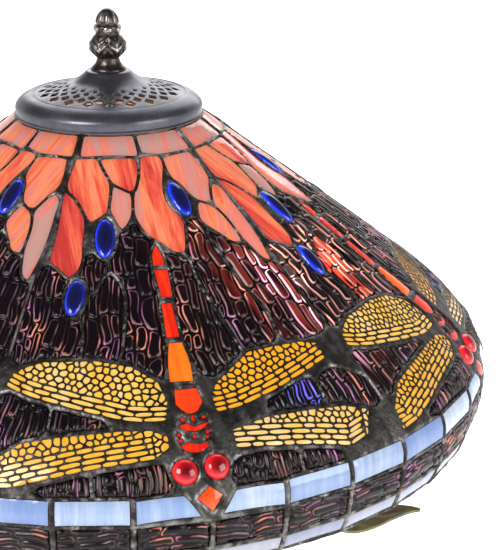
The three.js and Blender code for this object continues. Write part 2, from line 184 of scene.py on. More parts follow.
# ---- Plane outlines ----
def smooth_outline(points, step, closed=True, corner=48):
    """A curve through the points, keeping the corners that turn by more than corner degrees."""
    p = np.asarray(points, float)
    n = len(p)
    ahead = np.roll(p, -1, axis=0) - p
    behind = p - np.roll(p, 1, axis=0)
    if not closed:
        ahead[-1], behind[0] = behind[-1], ahead[0]
    unit_a = ahead / np.maximum(np.hypot(*ahead.T), 1e-9)[:, None]
    unit_b = behind / np.maximum(np.hypot(*behind.T), 1e-9)[:, None]
    sharp = np.sum(unit_a * unit_b, axis=1) < math.cos(math.radians(corner))
    mean = unit_a + unit_b
    mean = mean / np.maximum(np.hypot(*mean.T), 1e-9)[:, None]
    result = []
    for i in range(n if closed else n - 1):
        k = (i + 1) % n
        span = np.hypot(*(p[k] - p[i]))
        m0 = (unit_a[i] if sharp[i] else mean[i]) * span
        m1 = (unit_b[k] if sharp[k] else mean[k]) * span
        count = max(1, round(span / step))
        t = (np.arange(count) / count)[:, None]
        result.append(
            (2 * t**3 - 3 * t**2 + 1) * p[i] + (t**3 - 2 * t**2 + t) * m0
            + (3 * t**2 - 2 * t**3) * p[k] + (t**3 - t**2) * m1
        )
    if not closed:
        result.append(p[-1:])
    return np.vstack(result)


def ellipse(centre, half_width, half_height, tilt, steps):
    """An oval round a (degrees, length) centre, on the unrolled cone. The half sizes are in millimetres."""
    t = np.arange(steps) * 2 * math.pi / steps
    middle = flatten(centre)
    lean = math.radians(tilt) + math.radians(centre[0]) * CONE
    x, y = half_width * np.cos(t), half_height * np.sin(t)
    turned = [x * math.cos(lean) - y * math.sin(lean), x * math.sin(lean) + y * math.cos(lean)]
    return middle + np.stack(turned, axis=-1)


def inside(points, outline):
    """Which points lie in a closed outline."""
    result = np.zeros(len(points), bool)
    low, high = outline.min(0), outline.max(0)
    near = np.flatnonzero(np.all((points >= low) & (points <= high), axis=1))
    if len(near):
        x, y = points[near].T
        a, b = outline, np.roll(outline, -1, axis=0)
        crosses = (a[:, 1] > y[:, None]) != (b[:, 1] > y[:, None])
        rise = np.where(a[:, 1] == b[:, 1], 1e-12, b[:, 1] - a[:, 1])
        at = a[:, 0] + (y[:, None] - a[:, 1]) / rise * (b[:, 0] - a[:, 0])
        result[near] = np.sum(crosses & (x[:, None] < at), axis=1) % 2 == 1
    return result


def distance_to(points, outlines, reach=5.0):
    """How far each point is from the nearest outline, no more than reach."""
    result = np.full(len(points), reach)
    for outline in outlines:
        close = (points > outline.min(0) - reach) & (points < outline.max(0) + reach)
        near = np.flatnonzero(np.all(close, axis=1))
        if not len(near):
            continue
        p = points[near][:, None]
        a = outline[None]
        ab = np.roll(outline, -1, axis=0)[None] - a
        t = np.clip(np.sum((p - a) * ab, -1) / np.maximum(np.sum(ab * ab, -1), 1e-12), 0, 1)
        d = np.sqrt(np.sum((p - a - ab * t[..., None]) ** 2, -1)).min(1)
        result[near] = np.minimum(result[near], d)
    return result


def grid(low, high, step):
    """Points of a triangular grid in a box, each moved a little."""
    rows = np.arange(low[1], high[1], step * 0.87)
    columns = np.arange(low[0], high[0], step)
    x, y = np.meshgrid(columns, rows)
    x = x + (np.arange(len(rows)) % 2)[:, None] * step / 2
    i, j = np.round(x / step * 2), np.round(y / step * 2)
    x = x + (hashed(i, j, 3) - 0.5) * step * 0.3
    y = y + (hashed(i, j, 4) - 0.5) * step * 0.3
    return np.stack([x.ravel(), y.ravel()], axis=-1)


def scattered(outline, step, clear, holes=()):
    """Grid points inside an outline and outside its holes, and clear of all of them."""
    points = grid(outline.min(0), outline.max(0), step)
    points = points[inside(points, outline)]
    points = points[distance_to(points, [outline, *holes]) > clear]
    for hole in holes:
        points = points[~inside(points, hole)]
    return points


def signed_area(loop):
    x, y = loop.T
    return 0.5 * np.sum(x * np.roll(y, -1) - np.roll(x, -1) * y)


def mesh_inside(outline, loops, extra, holes):
    """Triangles inside an outline that follow some loops.

    Returns the points, the triangles, and the loop of each point. The outline is loop 0. Points on no
    loop, or where two loops cross, are on loop -1. With holes, the loops stay open.
    """
    loops = [loop if signed_area(loop) > 0 else loop[::-1] for loop in (outline, *loops)]
    faces, start = [], 0
    for loop in loops:
        faces.append(list(range(start, start + len(loop))))
        start += len(loop)
    loop_of = [np.full(len(loop), n) for n, loop in enumerate(loops)]
    loop_of = np.concatenate([*loop_of, np.full(len(extra), -1)])
    made = delaunay_2d_cdt([Vector(p) for p in np.vstack([*loops, extra])], [], faces, 1, 1e-5, True)
    vertices = np.array([tuple(v) for v in made[0]])
    sources = np.array([loop_of[origin[0]] if origin else -1 for origin in made[3]])
    kept = [f for f, origin in zip(made[2], made[5]) if (origin == [0] if holes else 0 in origin)]
    triangles = np.array([f for f in kept if len(f) == 3], int)
    used, triangles = np.unique(triangles, return_inverse=True)
    triangles = triangles.reshape(-1, 3)
    vertices = vertices[used]
    a, b, c = (vertices[triangles[:, k]] for k in range(3))
    area = (b[:, 0] - a[:, 0]) * (c[:, 1] - a[:, 1]) - (b[:, 1] - a[:, 1]) * (c[:, 0] - a[:, 0])
    triangles[area < 0] = triangles[area < 0][:, ::-1]
    return vertices, triangles, sources[used]


def triangulate(outline, holes, extra):
    """Triangles inside an outline and outside its holes. Returns the points and the triangles."""
    return mesh_inside(outline, holes, extra, True)[:2]


# ---- Meshes ----
class Shell:
    """Vertices, faces and values per vertex, gathered for one object."""

    def __init__(self):
        self.vertices, self.faces, self.values, self.count = [], [], {}, 0

    def add(self, vertices, faces, **values):
        vertices = np.asarray(vertices).reshape(-1, 3)
        self.vertices.append(vertices)
        self.faces.extend((np.asarray(f) + self.count).tolist() for f in faces if len(f))
        for key, value in values.items():
            value = np.asarray(value, float)
            shape = (len(vertices), *value.shape[1:]) if value.ndim > 1 else (len(vertices),)
            self.values.setdefault(key, []).append(np.broadcast_to(value, shape))
        self.count += len(vertices)

    def add_slab(self, upper, lower, triangles, **values):
        """A closed slab between two sheets of points that share their triangles."""
        self.add(np.vstack([upper, lower]), slab(triangles, len(upper)), **values)

    def build(self, name, material, body, replaces, smooth=40):
        mesh = bpy.data.meshes.new(name)
        faces = [f for block in self.faces for f in block]
        mesh.from_pydata(np.vstack(self.vertices).tolist(), [], faces)
        for key, blocks in self.values.items():
            kind = "FLOAT_VECTOR" if blocks[0].ndim > 1 else "FLOAT"
            layer = mesh.attributes.new(key, kind, "POINT")
            flat = np.concatenate(blocks).astype(np.float32).ravel()
            layer.data.foreach_set("vector" if kind == "FLOAT_VECTOR" else "value", flat)
        mesh.polygons.foreach_set("use_smooth", np.ones(len(mesh.polygons), bool))
        mesh.set_sharp_from_angle(angle=math.radians(smooth))
        mesh.materials.append(material)
        obj = placed(name, mesh)
        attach(obj, body)
        if replaces:
            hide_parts(*replaces)


def slab(triangles, count):
    """Faces of a closed slab whose upper vertices are the first count and lower ones the next count."""
    edges = np.vstack([triangles[:, [0, 1]], triangles[:, [1, 2]], triangles[:, [2, 0]]])
    key = edges[:, 0] * count + edges[:, 1]
    back = edges[:, 1] * count + edges[:, 0]
    rim = edges[~np.isin(key, back)]
    walls = np.stack([rim[:, 1], rim[:, 0], rim[:, 0] + count, rim[:, 1] + count], axis=-1)
    return [triangles, triangles[:, ::-1] + count, walls]


def lathe(profile, steps, relief=None, turn=Matrix.Identity(4)):
    """Vertices, faces and relief of a closed piece turned about its axis. Relief lifts its outside."""
    profile = np.asarray(profile, float)
    if signed_area(profile) < 0:
        profile = profile[::-1]
    n = len(profile)
    angle = (np.arange(steps) * 2 * math.pi / steps)[:, None]
    radius, height = (np.repeat(profile[:, axis][None], steps, 0) for axis in (0, 1))
    lift = np.zeros((steps, n))
    if relief is not None:
        along = np.roll(profile, -1, axis=0) - np.roll(profile, 1, axis=0)
        normal = np.stack([along[:, 1], -along[:, 0]], -1) / np.maximum(np.hypot(*along.T), 1e-9)[:, None]
        outside = ((normal[:, 0] > 0.15) | (normal[:, 1] > 0.6)) & (profile[:, 0] > 1e-6)
        lift = np.where(outside, relief(angle, radius, height), 0)
        radius, height = radius + normal[:, 0] * lift, height + normal[:, 1] * lift
    points = np.stack([radius * np.sin(angle), -radius * np.cos(angle), height], -1)
    index = np.arange(steps * n).reshape(steps, n)
    nxt = np.roll(index, -1, 0)
    quads, triangles = [], []
    for k in range(n):
        m = (k + 1) % n
        on_axis = profile[k, 0] < 1e-6, profile[m, 0] < 1e-6
        if all(on_axis):
            continue
        a, b, c, d = index[:, k], nxt[:, k], nxt[:, m], index[:, m]
        if on_axis[0]:
            triangles.append(np.stack([np.full(steps, index[0, k]), c, d], -1))
        elif on_axis[1]:
            triangles.append(np.stack([a, b, np.full(steps, index[0, m])], -1))
        else:
            quads.append(np.stack([a, b, c, d], -1))
    turn = np.array(turn)
    points = points.reshape(-1, 3) @ turn[:3, :3].T + turn[:3, 3]
    used = np.unique(np.concatenate([f.ravel() for f in quads + triangles]))
    renumber = np.zeros(len(points), int)
    renumber[used] = np.arange(len(used))
    return points[used] * MM, [renumber[f] for f in quads + triangles], lift.ravel()[used]


# ---- The pattern of one sixth of the shade, as (degrees, length) corners ----
CROWN = [
    (0.7, [(-25.5, 1), (0.3, 1), (0.4, 14.8), (-25.2, 15)]),
    (0.95, [(4.4, 1), (28.6, 1), (29, 15.2), (12, 14.8), (4.6, 12.8)]),
]
PETALS = [  # each with how pale it is
    (0.45, [(-26.8, 18.8), (-19, 18.6), (-13.5, 35), (-13.9, 57), (-18, 63.5), (-21.3, 53), (-24.2, 45.5),
            (-26.8, 41)]),
    (0.5, [(-15.6, 19), (-1.2, 19), (-1.6, 28), (-3.5, 41), (-5, 41.6), (-9, 36.6), (-12.4, 31)]),
    (0.8, [(-10.5, 40), (-5.7, 45), (-5.8, 54), (-6.8, 62), (-8.8, 69), (-10.2, 62), (-11.5, 55),
           (-11, 47)]),
    (0.2, [(3, 18.4), (10.6, 18.4), (10.3, 25), (8, 34), (6.4, 43), (6, 50), (6.8, 58), (9, 66.5),
           (8.2, 77), (6.6, 89), (5, 88.5), (1.6, 80), (-1, 75), (-3, 66), (-3.8, 59), (-3.6, 52),
           (-2, 42), (0.5, 33), (2, 25)]),
    (0.35, [(13.6, 20.6), (27.2, 19.6), (27.5, 39.5), (25.2, 45.5), (22.4, 55.5), (20.4, 56.5), (18.2, 52),
            (16.6, 45), (13.6, 34)]),
    (0.48, [(18.4, 57), (20.6, 60.5), (22.6, 66), (23.4, 73), (23.7, 80), (23.6, 89), (22, 88), (20, 81.5),
            (18, 75.5), (16.4, 70), (17, 63)]),
    (0.66, [(28.2, 47), (29.4, 50), (29.6, 60), (29.7, 75), (29.3, 90), (28.2, 107), (27.3, 104),
            (26.3, 95), (25.4, 84), (25, 72), (24, 61), (25.8, 52)]),
    (0.05, [(-28, 45), (-26, 48), (-22.8, 54.5), (-20.8, 65), (-20.4, 80), (-20.5, 98), (-22, 103.5),
            (-24.6, 97.5), (-27, 93.5), (-26.8, 75), (-27.2, 60)]),
]
CABOCHONS = [  # each with its middle, its half sizes and its tilt
    ((11.9, 51.5), (6.0, 13.4), 4),
    ((-13.8, 76.6), (6.1, 14.2), 0),
    ((-20, 118.6), (5.8, 12.4), -3),
]
RIPPLE = [
    [(-18.4, 93.5), (-16, 93), (-14.3, 97.5), (-14.7, 104), (-16.3, 114), (-17.6, 107)],
    [(-12.6, 104), (-11, 112), (-10.2, 125), (-10.9, 140), (-11.4, 154.5), (-16.5, 155), (-16.4, 135),
     (-15.2, 120), (-14, 108)],
    [(-8.4, 73), (-6.8, 70.8), (-5.2, 69), (-3.7, 73), (-3.1, 85), (-3.6, 100), (-4.3, 120), (-4.5, 150),
     (-4.9, 170), (-6.2, 170), (-9.5, 158), (-8.7, 130), (-8.4, 112), (-10, 102.5), (-10.4, 95), (-9, 86)],
    [(-27, 102), (-24.2, 105.5), (-23.1, 112), (-22.4, 125), (-20.4, 135), (-18.7, 142), (-18.7, 156.5),
     (-28.6, 158), (-29, 140), (-29.3, 120), (-29.2, 105)],
    [(2.2, 92), (4, 93.5), (6.3, 95.5), (6.2, 104), (7, 120), (8.3, 140), (9.3, 156), (7, 164), (4.2, 170),
     (3.4, 168), (3, 140), (2.4, 110)],
    [(10.9, 71.5), (12.5, 73), (13.8, 80.5), (15.1, 100), (16.4, 120), (17.8, 140), (16.6, 155),
     (11.6, 158), (10.4, 140), (9, 120), (8.4, 100), (9.2, 85)],
    [(16.3, 79), (19, 85.5), (22.3, 92.5), (24.8, 97.5), (26, 107), (26.9, 118), (27.8, 140), (28.2, 158),
     (21, 158), (20.8, 142), (19, 125), (17.6, 105)],
    [(-28.6, 189), (-27, 190), (-22.8, 193), (-22.6, 199), (-24.2, 205), (-28, 211.5), (-28.7, 205)],
    [(-20.2, 195.5), (-17, 197), (-14, 201.5), (-20.2, 202)],
    [(12, 201.4), (16, 197.5), (19.2, 195), (19.4, 201.8)],
    [(21.9, 198), (24.5, 195), (26, 198), (28.3, 207), (28.9, 214), (26, 210.6), (21.8, 205)],
    [(-21.5, 239.5), (-19, 234.8), (-16, 234), (-15.8, 240.2)],
    [(-14.4, 233.4), (-9, 232.5), (-6.6, 231.5), (-6.2, 239.6), (-14.2, 240.4)],
    [(4.6, 234), (12.3, 234), (12.3, 240.2), (4.2, 240.2)],
    [(13.6, 235), (17.2, 236), (18.6, 240.2), (13.6, 240.4)],
]
BLUE_RIPPLE = {9}  # the ripple pieces cut from blue glass
TAIL = [  # each with how yellow it is
    (0.0, [(-0.3, 83), (0.7, 92), (0.7, 97.6), (-1.9, 97.6), (-1.7, 90)]),
    (0.05, [(-2, 101), (1.1, 101), (0.9, 112), (0.7, 120), (-1.6, 120), (-1.8, 110)]),
    (0.0, [(-1.9, 124.4), (0.2, 124.4), (0.1, 147.4), (-2.3, 147.4)]),
    (0.45, [(-2.1, 151.2), (0.3, 151.6), (0.8, 165), (0.6, 177), (-3.1, 176.4), (-3, 168)]),
    (0.1, [(-2.7, 182), (0.8, 182), (1.2, 191), (-0.3, 197), (-1.3, 197), (-2.9, 191)]),
    (0.25, [(-0.2, 240.5), (1.3, 246), (-0.1, 254.5), (-1.9, 246.5)]),
    (0.0, [(-3, 204.2), (-1.8, 203.4), (-0.8, 205.8), (0.2, 204.6), (1.4, 203.8), (0.3, 207.2), (-1, 208),
           (-2.3, 206.8)]),
    (0.0, [(-3.1, 216.2), (-1.9, 214.8), (-0.7, 216.3), (0.2, 215.3), (0.7, 218), (-1, 220.8),
           (-2.8, 218.6)]),
]
SPOTS = [  # small red pieces of the thorax, each with its middle and half sizes
         (-2.3, 200.6, 1.1, 1.3), (-0.8, 200.6, 1.0, 1.9), (0.8, 200.3, 1.3, 0.9), (-3.2, 209.6, 1.0, 1.2),
         (-3.1, 213.2, 1.2, 1.0), (-1.1, 211.3, 0.9, 1.5), (0.9, 209.4, 1.2, 1.1), (0.7, 212.4, 1.0, 1.0)]
EYES = [(-3.1, 231.4), (1.2, 230.2)]
EYE_R = 7.4
WINGS = [  # each with its colour, its rows of bars, its lower edge from the body, and its outline
    (0.30, 3, [(-4.2, 203), (-30, 181.5)], [(-4.6, 201), (-10, 200.5), (-17, 193), (-25, 185.5),
                                            (-29.3, 179), (-28.4, 169), (-24, 162), (-15, 160.5),
                                            (-9, 165), (-5, 176), (-4, 189)]),
    (1.0, 3, [(2.8, 200), (25.6, 184)], [(2.9, 199), (7, 198), (13, 192.5), (20, 185.5), (25.3, 181),
                                         (25.2, 170), (22, 165.5), (16, 164), (11.5, 164), (8, 171.5),
                                         (4, 180.5), (2.7, 188)]),
    (0.6, 4, [(-4.4, 223), (-26, 242)], [(-4.7, 210), (-4.7, 217), (-7, 223.5), (-16, 228.5), (-22, 235),
                                         (-26, 240.5), (-29.2, 239.5), (-28.8, 226), (-25, 213),
                                         (-20, 208.5), (-11, 204.8), (-7, 205.5)]),
    (0.12, 4, [(4, 224), (24.5, 240)], [(3.8, 211), (4.2, 222), (12, 226.5), (16, 229.5), (21, 236.5),
                                        (24.6, 234), (26.8, 220), (23, 212.5), (17, 208.5), (10, 206.5)]),
]
SEAM = [(-29.0, 0), (-29.0, 96), (-30.2, 103), (-30.2, 160), (-30.9, 168), (-30.9, 182), (-30.0, 187),
        (-30.0, OUTLINE_LENGTH)]
BORDER_ROW, SKIRT_ROW, EDGE_ROW = (244.8, 258.6), (261.6, 278.2), (282.0, 291.6)
ROW_JOINTS = [-30, -20, -10, 0, 10, 20, 30]
JOINT_HALF = 0.42  # half a joint between border pieces, in degrees


def block(left, right, top, low):
    middle = (left + right) / 2
    return [(left, top), (middle, top), (right, top), (right, low), (middle, low), (left, low)]


def border_pieces():
    """The blue row, with the two middle pieces cut round the red lozenge."""
    top, low = BORDER_ROW
    pieces = []
    for left, right in zip(ROW_JOINTS, ROW_JOINTS[1:]):
        left, right = left + JOINT_HALF, right - JOINT_HALF
        if right < 0 and left > -10:
            cut = [(-3.6, top - 0.2), (-2.6, 250), (-1.6, low - 1.6)]
            pieces.append([(left, top + 0.6), *cut, (left, low)])
        elif left > 0 and right < 10:
            pieces.append([(3.2, top + 0.3), (right, top + 1), (right, low), (1.4, low - 1.6), (2.4, 250)])
        else:
            pieces.append(block(left, right, top, low))
    return pieces


def row_pieces(row):
    joints = zip(ROW_JOINTS, ROW_JOINTS[1:])
    return [block(left + JOINT_HALF, right - JOINT_HALF, *row) for left, right in joints]


# ---- Wing cells ----
def clip(polygon, point, normal):
    """What of a convex polygon lies behind a line."""
    result = []
    side = (polygon - point) @ normal
    for k in range(len(polygon)):
        m = (k + 1) % len(polygon)
        if side[k] <= 0:
            result.append(polygon[k])
        if side[k] * side[m] < 0:
            result.append(polygon[k] + (polygon[m] - polygon[k]) * side[k] / (side[k] - side[m]))
    return np.array(result).reshape(-1, 2)


def rounded(polygon, share):
    """A polygon with each corner cut twice towards a curve."""
    for cut in (share, 0.25):
        ahead = np.roll(polygon, -1, axis=0) - polygon
        polygon = np.stack([polygon + ahead * cut, polygon + ahead * (1 - cut)], 1).reshape(-1, 2)
    return polygon


def turns_left(a, b, c):
    return (b[0] - a[0]) * (c[1] - b[1]) - (b[1] - a[1]) * (c[0] - b[0]) > 0


def hull(points):
    """The convex outline round some points, anticlockwise."""
    order = sorted(map(tuple, points))

    def half(side):
        kept = []
        for p in side:
            while len(kept) > 1 and not turns_left(*kept[-2:], p):
                kept.pop()
            kept.append(p)
        return kept[:-1]

    return np.array(half(order) + half(order[::-1]))


def subdivided(polygon, step):
    ahead = np.roll(polygon, -1, axis=0) - polygon
    counts = np.maximum(1, np.round(np.hypot(*ahead.T) / step).astype(int))
    return np.vstack([p + a * (np.arange(n) / n)[:, None] for p, a, n in zip(polygon, ahead, counts)])


WEB = 0.5  # half the metal between two cells
MARGIN = 0.4  # between the cells and the wing's border
STEEPEST = 0.55  # the bars stop where the lower edge is steeper
BARS_LOW = 0.2  # from the lower edge to the first row of bars
BAR_RISE, BAR_RUN = 3.4, 10.5  # the pitch of the bars, across and along
CELL_RISE, CELL_STEP = 4.0, 4.7
CELL_ROWS, CELL_COLUMNS = 14, 27
CELL_MOST = 7.0  # half the widest cell
SMALLEST_CELL, NARROWEST_CELL = 3.0, 1.2  # area and width of what is still pierced


def wing_bars(foot, low, high, rows, draws):
    """Rows of long bars that follow the lower edge, from low to high."""
    cells = []
    for row in range(rows):
        x, n = low - BAR_RUN * 0.5 * draws[row, 0], 1
        base = BARS_LOW + BAR_RISE * row + WEB
        top = base + BAR_RISE - 2 * WEB
        while x < high - 2.5:
            left, right = max(x, low), min(x + BAR_RUN * (0.65 + 0.7 * draws[row, n]), high)
            ends = np.array([left + WEB, right - WEB, right - WEB, left + WEB])
            cells.append(np.column_stack([ends, foot(ends) + (base, base, top, top)]))
            x, n = right, n + 1
    return cells


def cell_middles(foot, low, high, roof, seed):
    """Where the rounder cells lie, in rows that keep above the roof of the bars."""
    j, i = np.meshgrid(np.arange(CELL_COLUMNS), np.arange(CELL_ROWS))
    jitter = [hashed(j, i + 40 * n, seed + 2) - 0.5 for n in (1, 2)]
    along = low - 12 + CELL_STEP * (j + 0.5 * (i % 2) + 0.6 * jitter[0])
    middles = np.stack([along, CELL_RISE * (i - 2) + 2.2 * jitter[1]], -1).reshape(-1, 2)
    over = (middles[:, 0] > low) & (middles[:, 0] < high)
    middles[:, 1] += foot(middles[:, 0]) + (roof + 1.6) * over
    return middles


def round_cell(middle, middles, foot, low, high, roof):
    """What lies nearer to one middle than to the others, and clear of the bars."""
    reach = np.hypot(*(middles - middle).T)
    cell = middle + CELL_MOST * np.array([(-1, -1), (1, -1), (1, 1), (-1, 1)], float)
    for m in np.argsort(reach)[1:16]:
        normal = (middles[m] - middle) / reach[m]
        cell = clip(cell, (middles[m] + middle) / 2 - normal * WEB, normal) if len(cell) else cell
    if not len(cell):
        return cell
    if low < middle[0] < high:
        slope = foot(middle[0] + 1) - foot(middle[0])
        normal = np.array([slope, -1]) / math.hypot(slope, 1)
        return clip(cell, np.array([middle[0], foot(middle[0]) + roof]) - normal * WEB, normal)
    sign, bound = (1, low) if middle[0] < low else (-1, high)
    return clip(cell, np.array([bound - sign * WEB, 0]), np.array([sign, 0]))


def wing_cells(edge, outline, bars, seed):
    """The holes of a pierced wing: rows of long bars along the lower edge, and rounder cells above them."""
    border = hull(flatten(outline))
    start, end = flatten(edge)
    along = (end - start) / np.hypot(*(end - start))
    up = np.array([-along[1], along[0]])
    axes = np.array([along, -up if up[1] < 0 else up])
    local = subdivided((border - start) @ axes.T, 0.8)
    xs = np.linspace(local[:, 0].min() + 0.5, local[:, 0].max() - 0.5, 100)
    feet = np.array([local[np.abs(local[:, 0] - x) < 1.2, 1].min() for x in xs])
    gentle = xs[np.abs(np.gradient(feet, xs)) < STEEPEST]
    low, high = gentle[0], gentle[-1]

    def foot(x):
        return np.interp(x, xs, feet)

    roof = BARS_LOW + BAR_RISE * bars
    raw = wing_bars(foot, low, high, bars, hashed(np.arange(20)[:, None], np.arange(40)[None, :], seed))
    middles = cell_middles(foot, low, high, roof, seed)
    middles = middles[inside(start + middles @ axes, border)]
    raw += [round_cell(middle, middles, foot, low, high, roof) for middle in middles]
    cells = []
    for cell in raw:
        cell = start + cell @ axes if len(cell) else cell
        for p, q in zip(border, np.roll(border, -1, axis=0)):
            normal = np.array([q[1] - p[1], p[0] - q[0]]) / max(np.hypot(*(q - p)), 1e-9)
            if len(cell):
                cell = clip(cell, p - normal * MARGIN, normal)
        big = len(cell) > 2 and abs(signed_area(cell)) > SMALLEST_CELL
        if big and np.ptp(cell, axis=0).min() > NARROWEST_CELL:
            cells.append(rounded(cell, 0.22))
    return border, cells


# ---- Ripple glass: long islands with bright sides ----
BRIGHT_LEVEL = 0.5  # light comes through the sides of an island
ISLAND_SIDES = [(0.6, 0.0), (1.05, BRIGHT_LEVEL), (1.6, 0.85), (2.3, 1.0)]  # how far in, and how high


def island_loops(outline, width, length, seed, lying):
    """Loops at the foot and up the sides of the islands that fill a pane, and the height of each loop."""
    middle = outline.mean(0)
    down = -middle / np.hypot(*middle)
    if lying:
        down = np.array([-down[1], down[0]])
    axes = np.array([[-down[1], down[0]], down])  # across and along
    local = (outline - middle) @ axes.T
    low, high = local.min(0) - 3, local.max(0) + 3
    draws = hashed(np.arange(64)[:, None], np.arange(64)[None, :], seed)
    t = (np.arange(12) + 0.5) * math.pi / 6
    round_end = np.stack([np.cos(t), np.sin(t)], -1)
    loops, levels = [], []
    left, column = low[0], 0
    while left < high[0]:
        wide = width * (0.7 + 0.6 * draws[column % 64, 0])
        top, row = low[1] - length * draws[column % 64, 1], 2
        while top < high[1]:
            long = length * (0.45 + 1.1 * draws[column % 64, row % 64])
            lean = draws[row % 64, column % 64] - 0.5
            for inset, level in ISLAND_SIDES:
                half = np.array([wide, long]) / 2 - inset
                if half[0] < 0.3:
                    break
                corner = 0.8 * half[0]
                ring = subdivided((half - corner) * np.sign(round_end) + corner * round_end, 2.8)
                ring[:, 1] += lean * ring[:, 0]
                x, y = (ring + (left + wide / 2, top + long / 2)).T
                sway = 2.2 * soft_noise(x / 18, y / 12, seed + 3) + 0.6 * soft_noise(x / 5, y / 7, seed + 4)
                slip = 2.2 * soft_noise(x / 10, y / 18, seed + 5)
                ring = np.stack([x + sway, y + slip], -1) @ axes + middle
                if not inside(ring, outline).any():
                    break
                loops.append(ring)
                levels.append(level)
            top, row = top + long, row + 1
        left, column = left + wide, column + 1
    return loops, levels


# ---- The leaded pattern, made once on the unrolled cone ----
LEAD_STEP, PANE_STEP = 1.7, 3.2
LEAD_GAP = 2.3  # between two pieces of glass
GROW_STEP = 0.4  # how far an outline widens at a time
EYE_HOLE = 0.5  # how much of a jewel's edge the lead covers


def rotated(points, sectors):
    angle = math.radians(SECTOR * sectors) * CONE
    c, s = math.cos(angle), math.sin(angle)
    return np.stack([points[:, 0] * c - points[:, 1] * s, points[:, 0] * s + points[:, 1] * c], axis=-1)


def seam(sectors=0):
    return rotated(smooth_outline(flatten(SEAM), 1.7, closed=False, corner=0), sectors)


def sector_outline():
    low = flatten([(d, OUTLINE_LENGTH) for d in np.linspace(SEAM[-1][0], SEAM[-1][0] + SECTOR, 121)[1:-1]])
    top = flatten([(d, 0) for d in np.linspace(SEAM[0][0] + SECTOR, SEAM[0][0], 31)[1:-1]])
    return np.vstack([seam(), low, seam(1)[::-1], top])


def grow(outlines, fixed, gap, limit):
    """Widens outlines until they are a gap from each other and from the fixed ones, up to a limit."""
    grown = [o if signed_area(o) > 0 else o[::-1] for o in outlines]
    seams = [np.vstack([line, line[::-1]]) for line in (seam(), seam(1))]
    fixed = fixed + [rotated(o, side) for o in fixed for side in (-1, 1)]
    for _ in range(round(limit / GROW_STEP)):
        for n, outline in enumerate(grown):
            others = fixed + [o for m, o in enumerate(grown) if m != n]
            room = distance_to(outline, others, gap + GROW_STEP) - gap
            room = np.minimum(room, distance_to(outline, seams, gap) - gap / 2)
            ahead = np.roll(outline, -1, axis=0) - np.roll(outline, 1, axis=0)
            reach = np.maximum(np.hypot(*ahead.T), 1e-6)[:, None]
            normal = np.stack([ahead[:, 1], -ahead[:, 0]], -1) / reach
            moved = outline + normal * np.clip(room, 0, GROW_STEP)[:, None]
            grown[n] = 0.96 * moved + 0.02 * (np.roll(moved, 1, axis=0) + np.roll(moved, -1, axis=0))
    return [subdivided(o, 2.0) for o in grown]


# Width and length of the islands on ripple glass
FIELD_RIPPLES, LOW_RIPPLES, SKIRT_RIPPLES = (6.5, 18), (5.0, 24), (5.8, 19)
FIRST_LOW_PANE = 7  # the ripple pieces from this one on lie among the wings and below them


class Pane:
    """One piece of glass on the unrolled cone: its kind, its outline, and its mesh once it has one."""

    def __init__(self, kind, outline, step, tone=0.0, **facts):
        self.kind, self.outline, self.tone, self.facts = kind, outline, tone, facts
        if step:
            self.points, self.triangles = triangulate(outline, [], scattered(outline, step, step * 0.45))
            self.measure()

    def measure(self):
        self.depth = distance_to(self.points, [self.outline])  # of each point inside the edge
        self.degrees, self.length = roll_up(self.points)

    def rippled(self, seed):
        """The same pane with ripples of its own."""
        pane = Pane(self.kind, self.outline, 0, self.tone, **self.facts)
        lying = self.kind == "skirt"
        upright = FIELD_RIPPLES if self.facts["number"] < FIRST_LOW_PANE else LOW_RIPPLES
        loops, levels = island_loops(self.outline, *(SKIRT_RIPPLES if lying else upright), seed, lying)
        pane.points, pane.triangles, source = mesh_inside(self.outline, loops, np.zeros((0, 2)), False)
        pane.height = np.array([0.0, *levels, 0.0])[source]
        pane.measure()
        return pane


def curve(points):
    return smooth_outline(flatten(points), 2.0)


def jewel(kind, centre, half, tilt):
    outline = ellipse(centre, *half, tilt, 40)
    return Pane(kind, outline, 1.0, centre=centre, half=half, tilt=tilt)


def make_panes():
    panes = [jewel("cabochon", *place) for place in CABOCHONS]
    panes += [jewel("eye", centre, (EYE_R, EYE_R), 0) for centre in EYES]
    panes += [Pane("tail", curve(points), PANE_STEP, yellow) for yellow, points in TAIL]
    panes += [Pane("tail", ellipse(spot[:2], *spot[2:], 0, 12), PANE_STEP, -0.1) for spot in SPOTS]
    panes += [Pane("border", curve(points), PANE_STEP) for points in border_pieces()]
    panes += [Pane("edge", curve(points), PANE_STEP) for points in row_pieces(EDGE_ROW)]
    panes += [Pane("skirt", curve(points), 0, number=n) for n, points in enumerate(row_pieces(SKIRT_ROW))]
    fixed = [pane.outline for pane in panes]
    tones, petals = zip(*CROWN, *PETALS)
    petals = grow([curve(points) for points in petals], fixed, LEAD_GAP - 0.2, 1.2)
    panes += [Pane("petal", outline, PANE_STEP, tone) for tone, outline in zip(tones, petals)]
    fixed += petals + [pane.outline for pane in WING_PANES]
    ripples = grow([curve(points) for points in RIPPLE], fixed, LEAD_GAP, 7)
    panes += [Pane("ripple", outline, 0, number=n) for n, outline in enumerate(ripples)]
    return panes


WING_PANES, CELLS = [], []
for number, (tone, bars, edge, wing) in enumerate(WINGS):
    border, holes = wing_cells(edge, wing, bars, 11 + number)
    WING_PANES.append(Pane("wing", border, PANE_STEP, tone))
    CELLS += holes
PANES = make_panes()


def lead_hole(pane):
    """The lead's opening for a pane: a jewel's edge goes under the lead."""
    if "half" in pane.facts:
        half = [h - EYE_HOLE for h in pane.facts["half"]]
        return ellipse(pane.facts["centre"], *half, pane.facts["tilt"], 36)
    return pane.outline


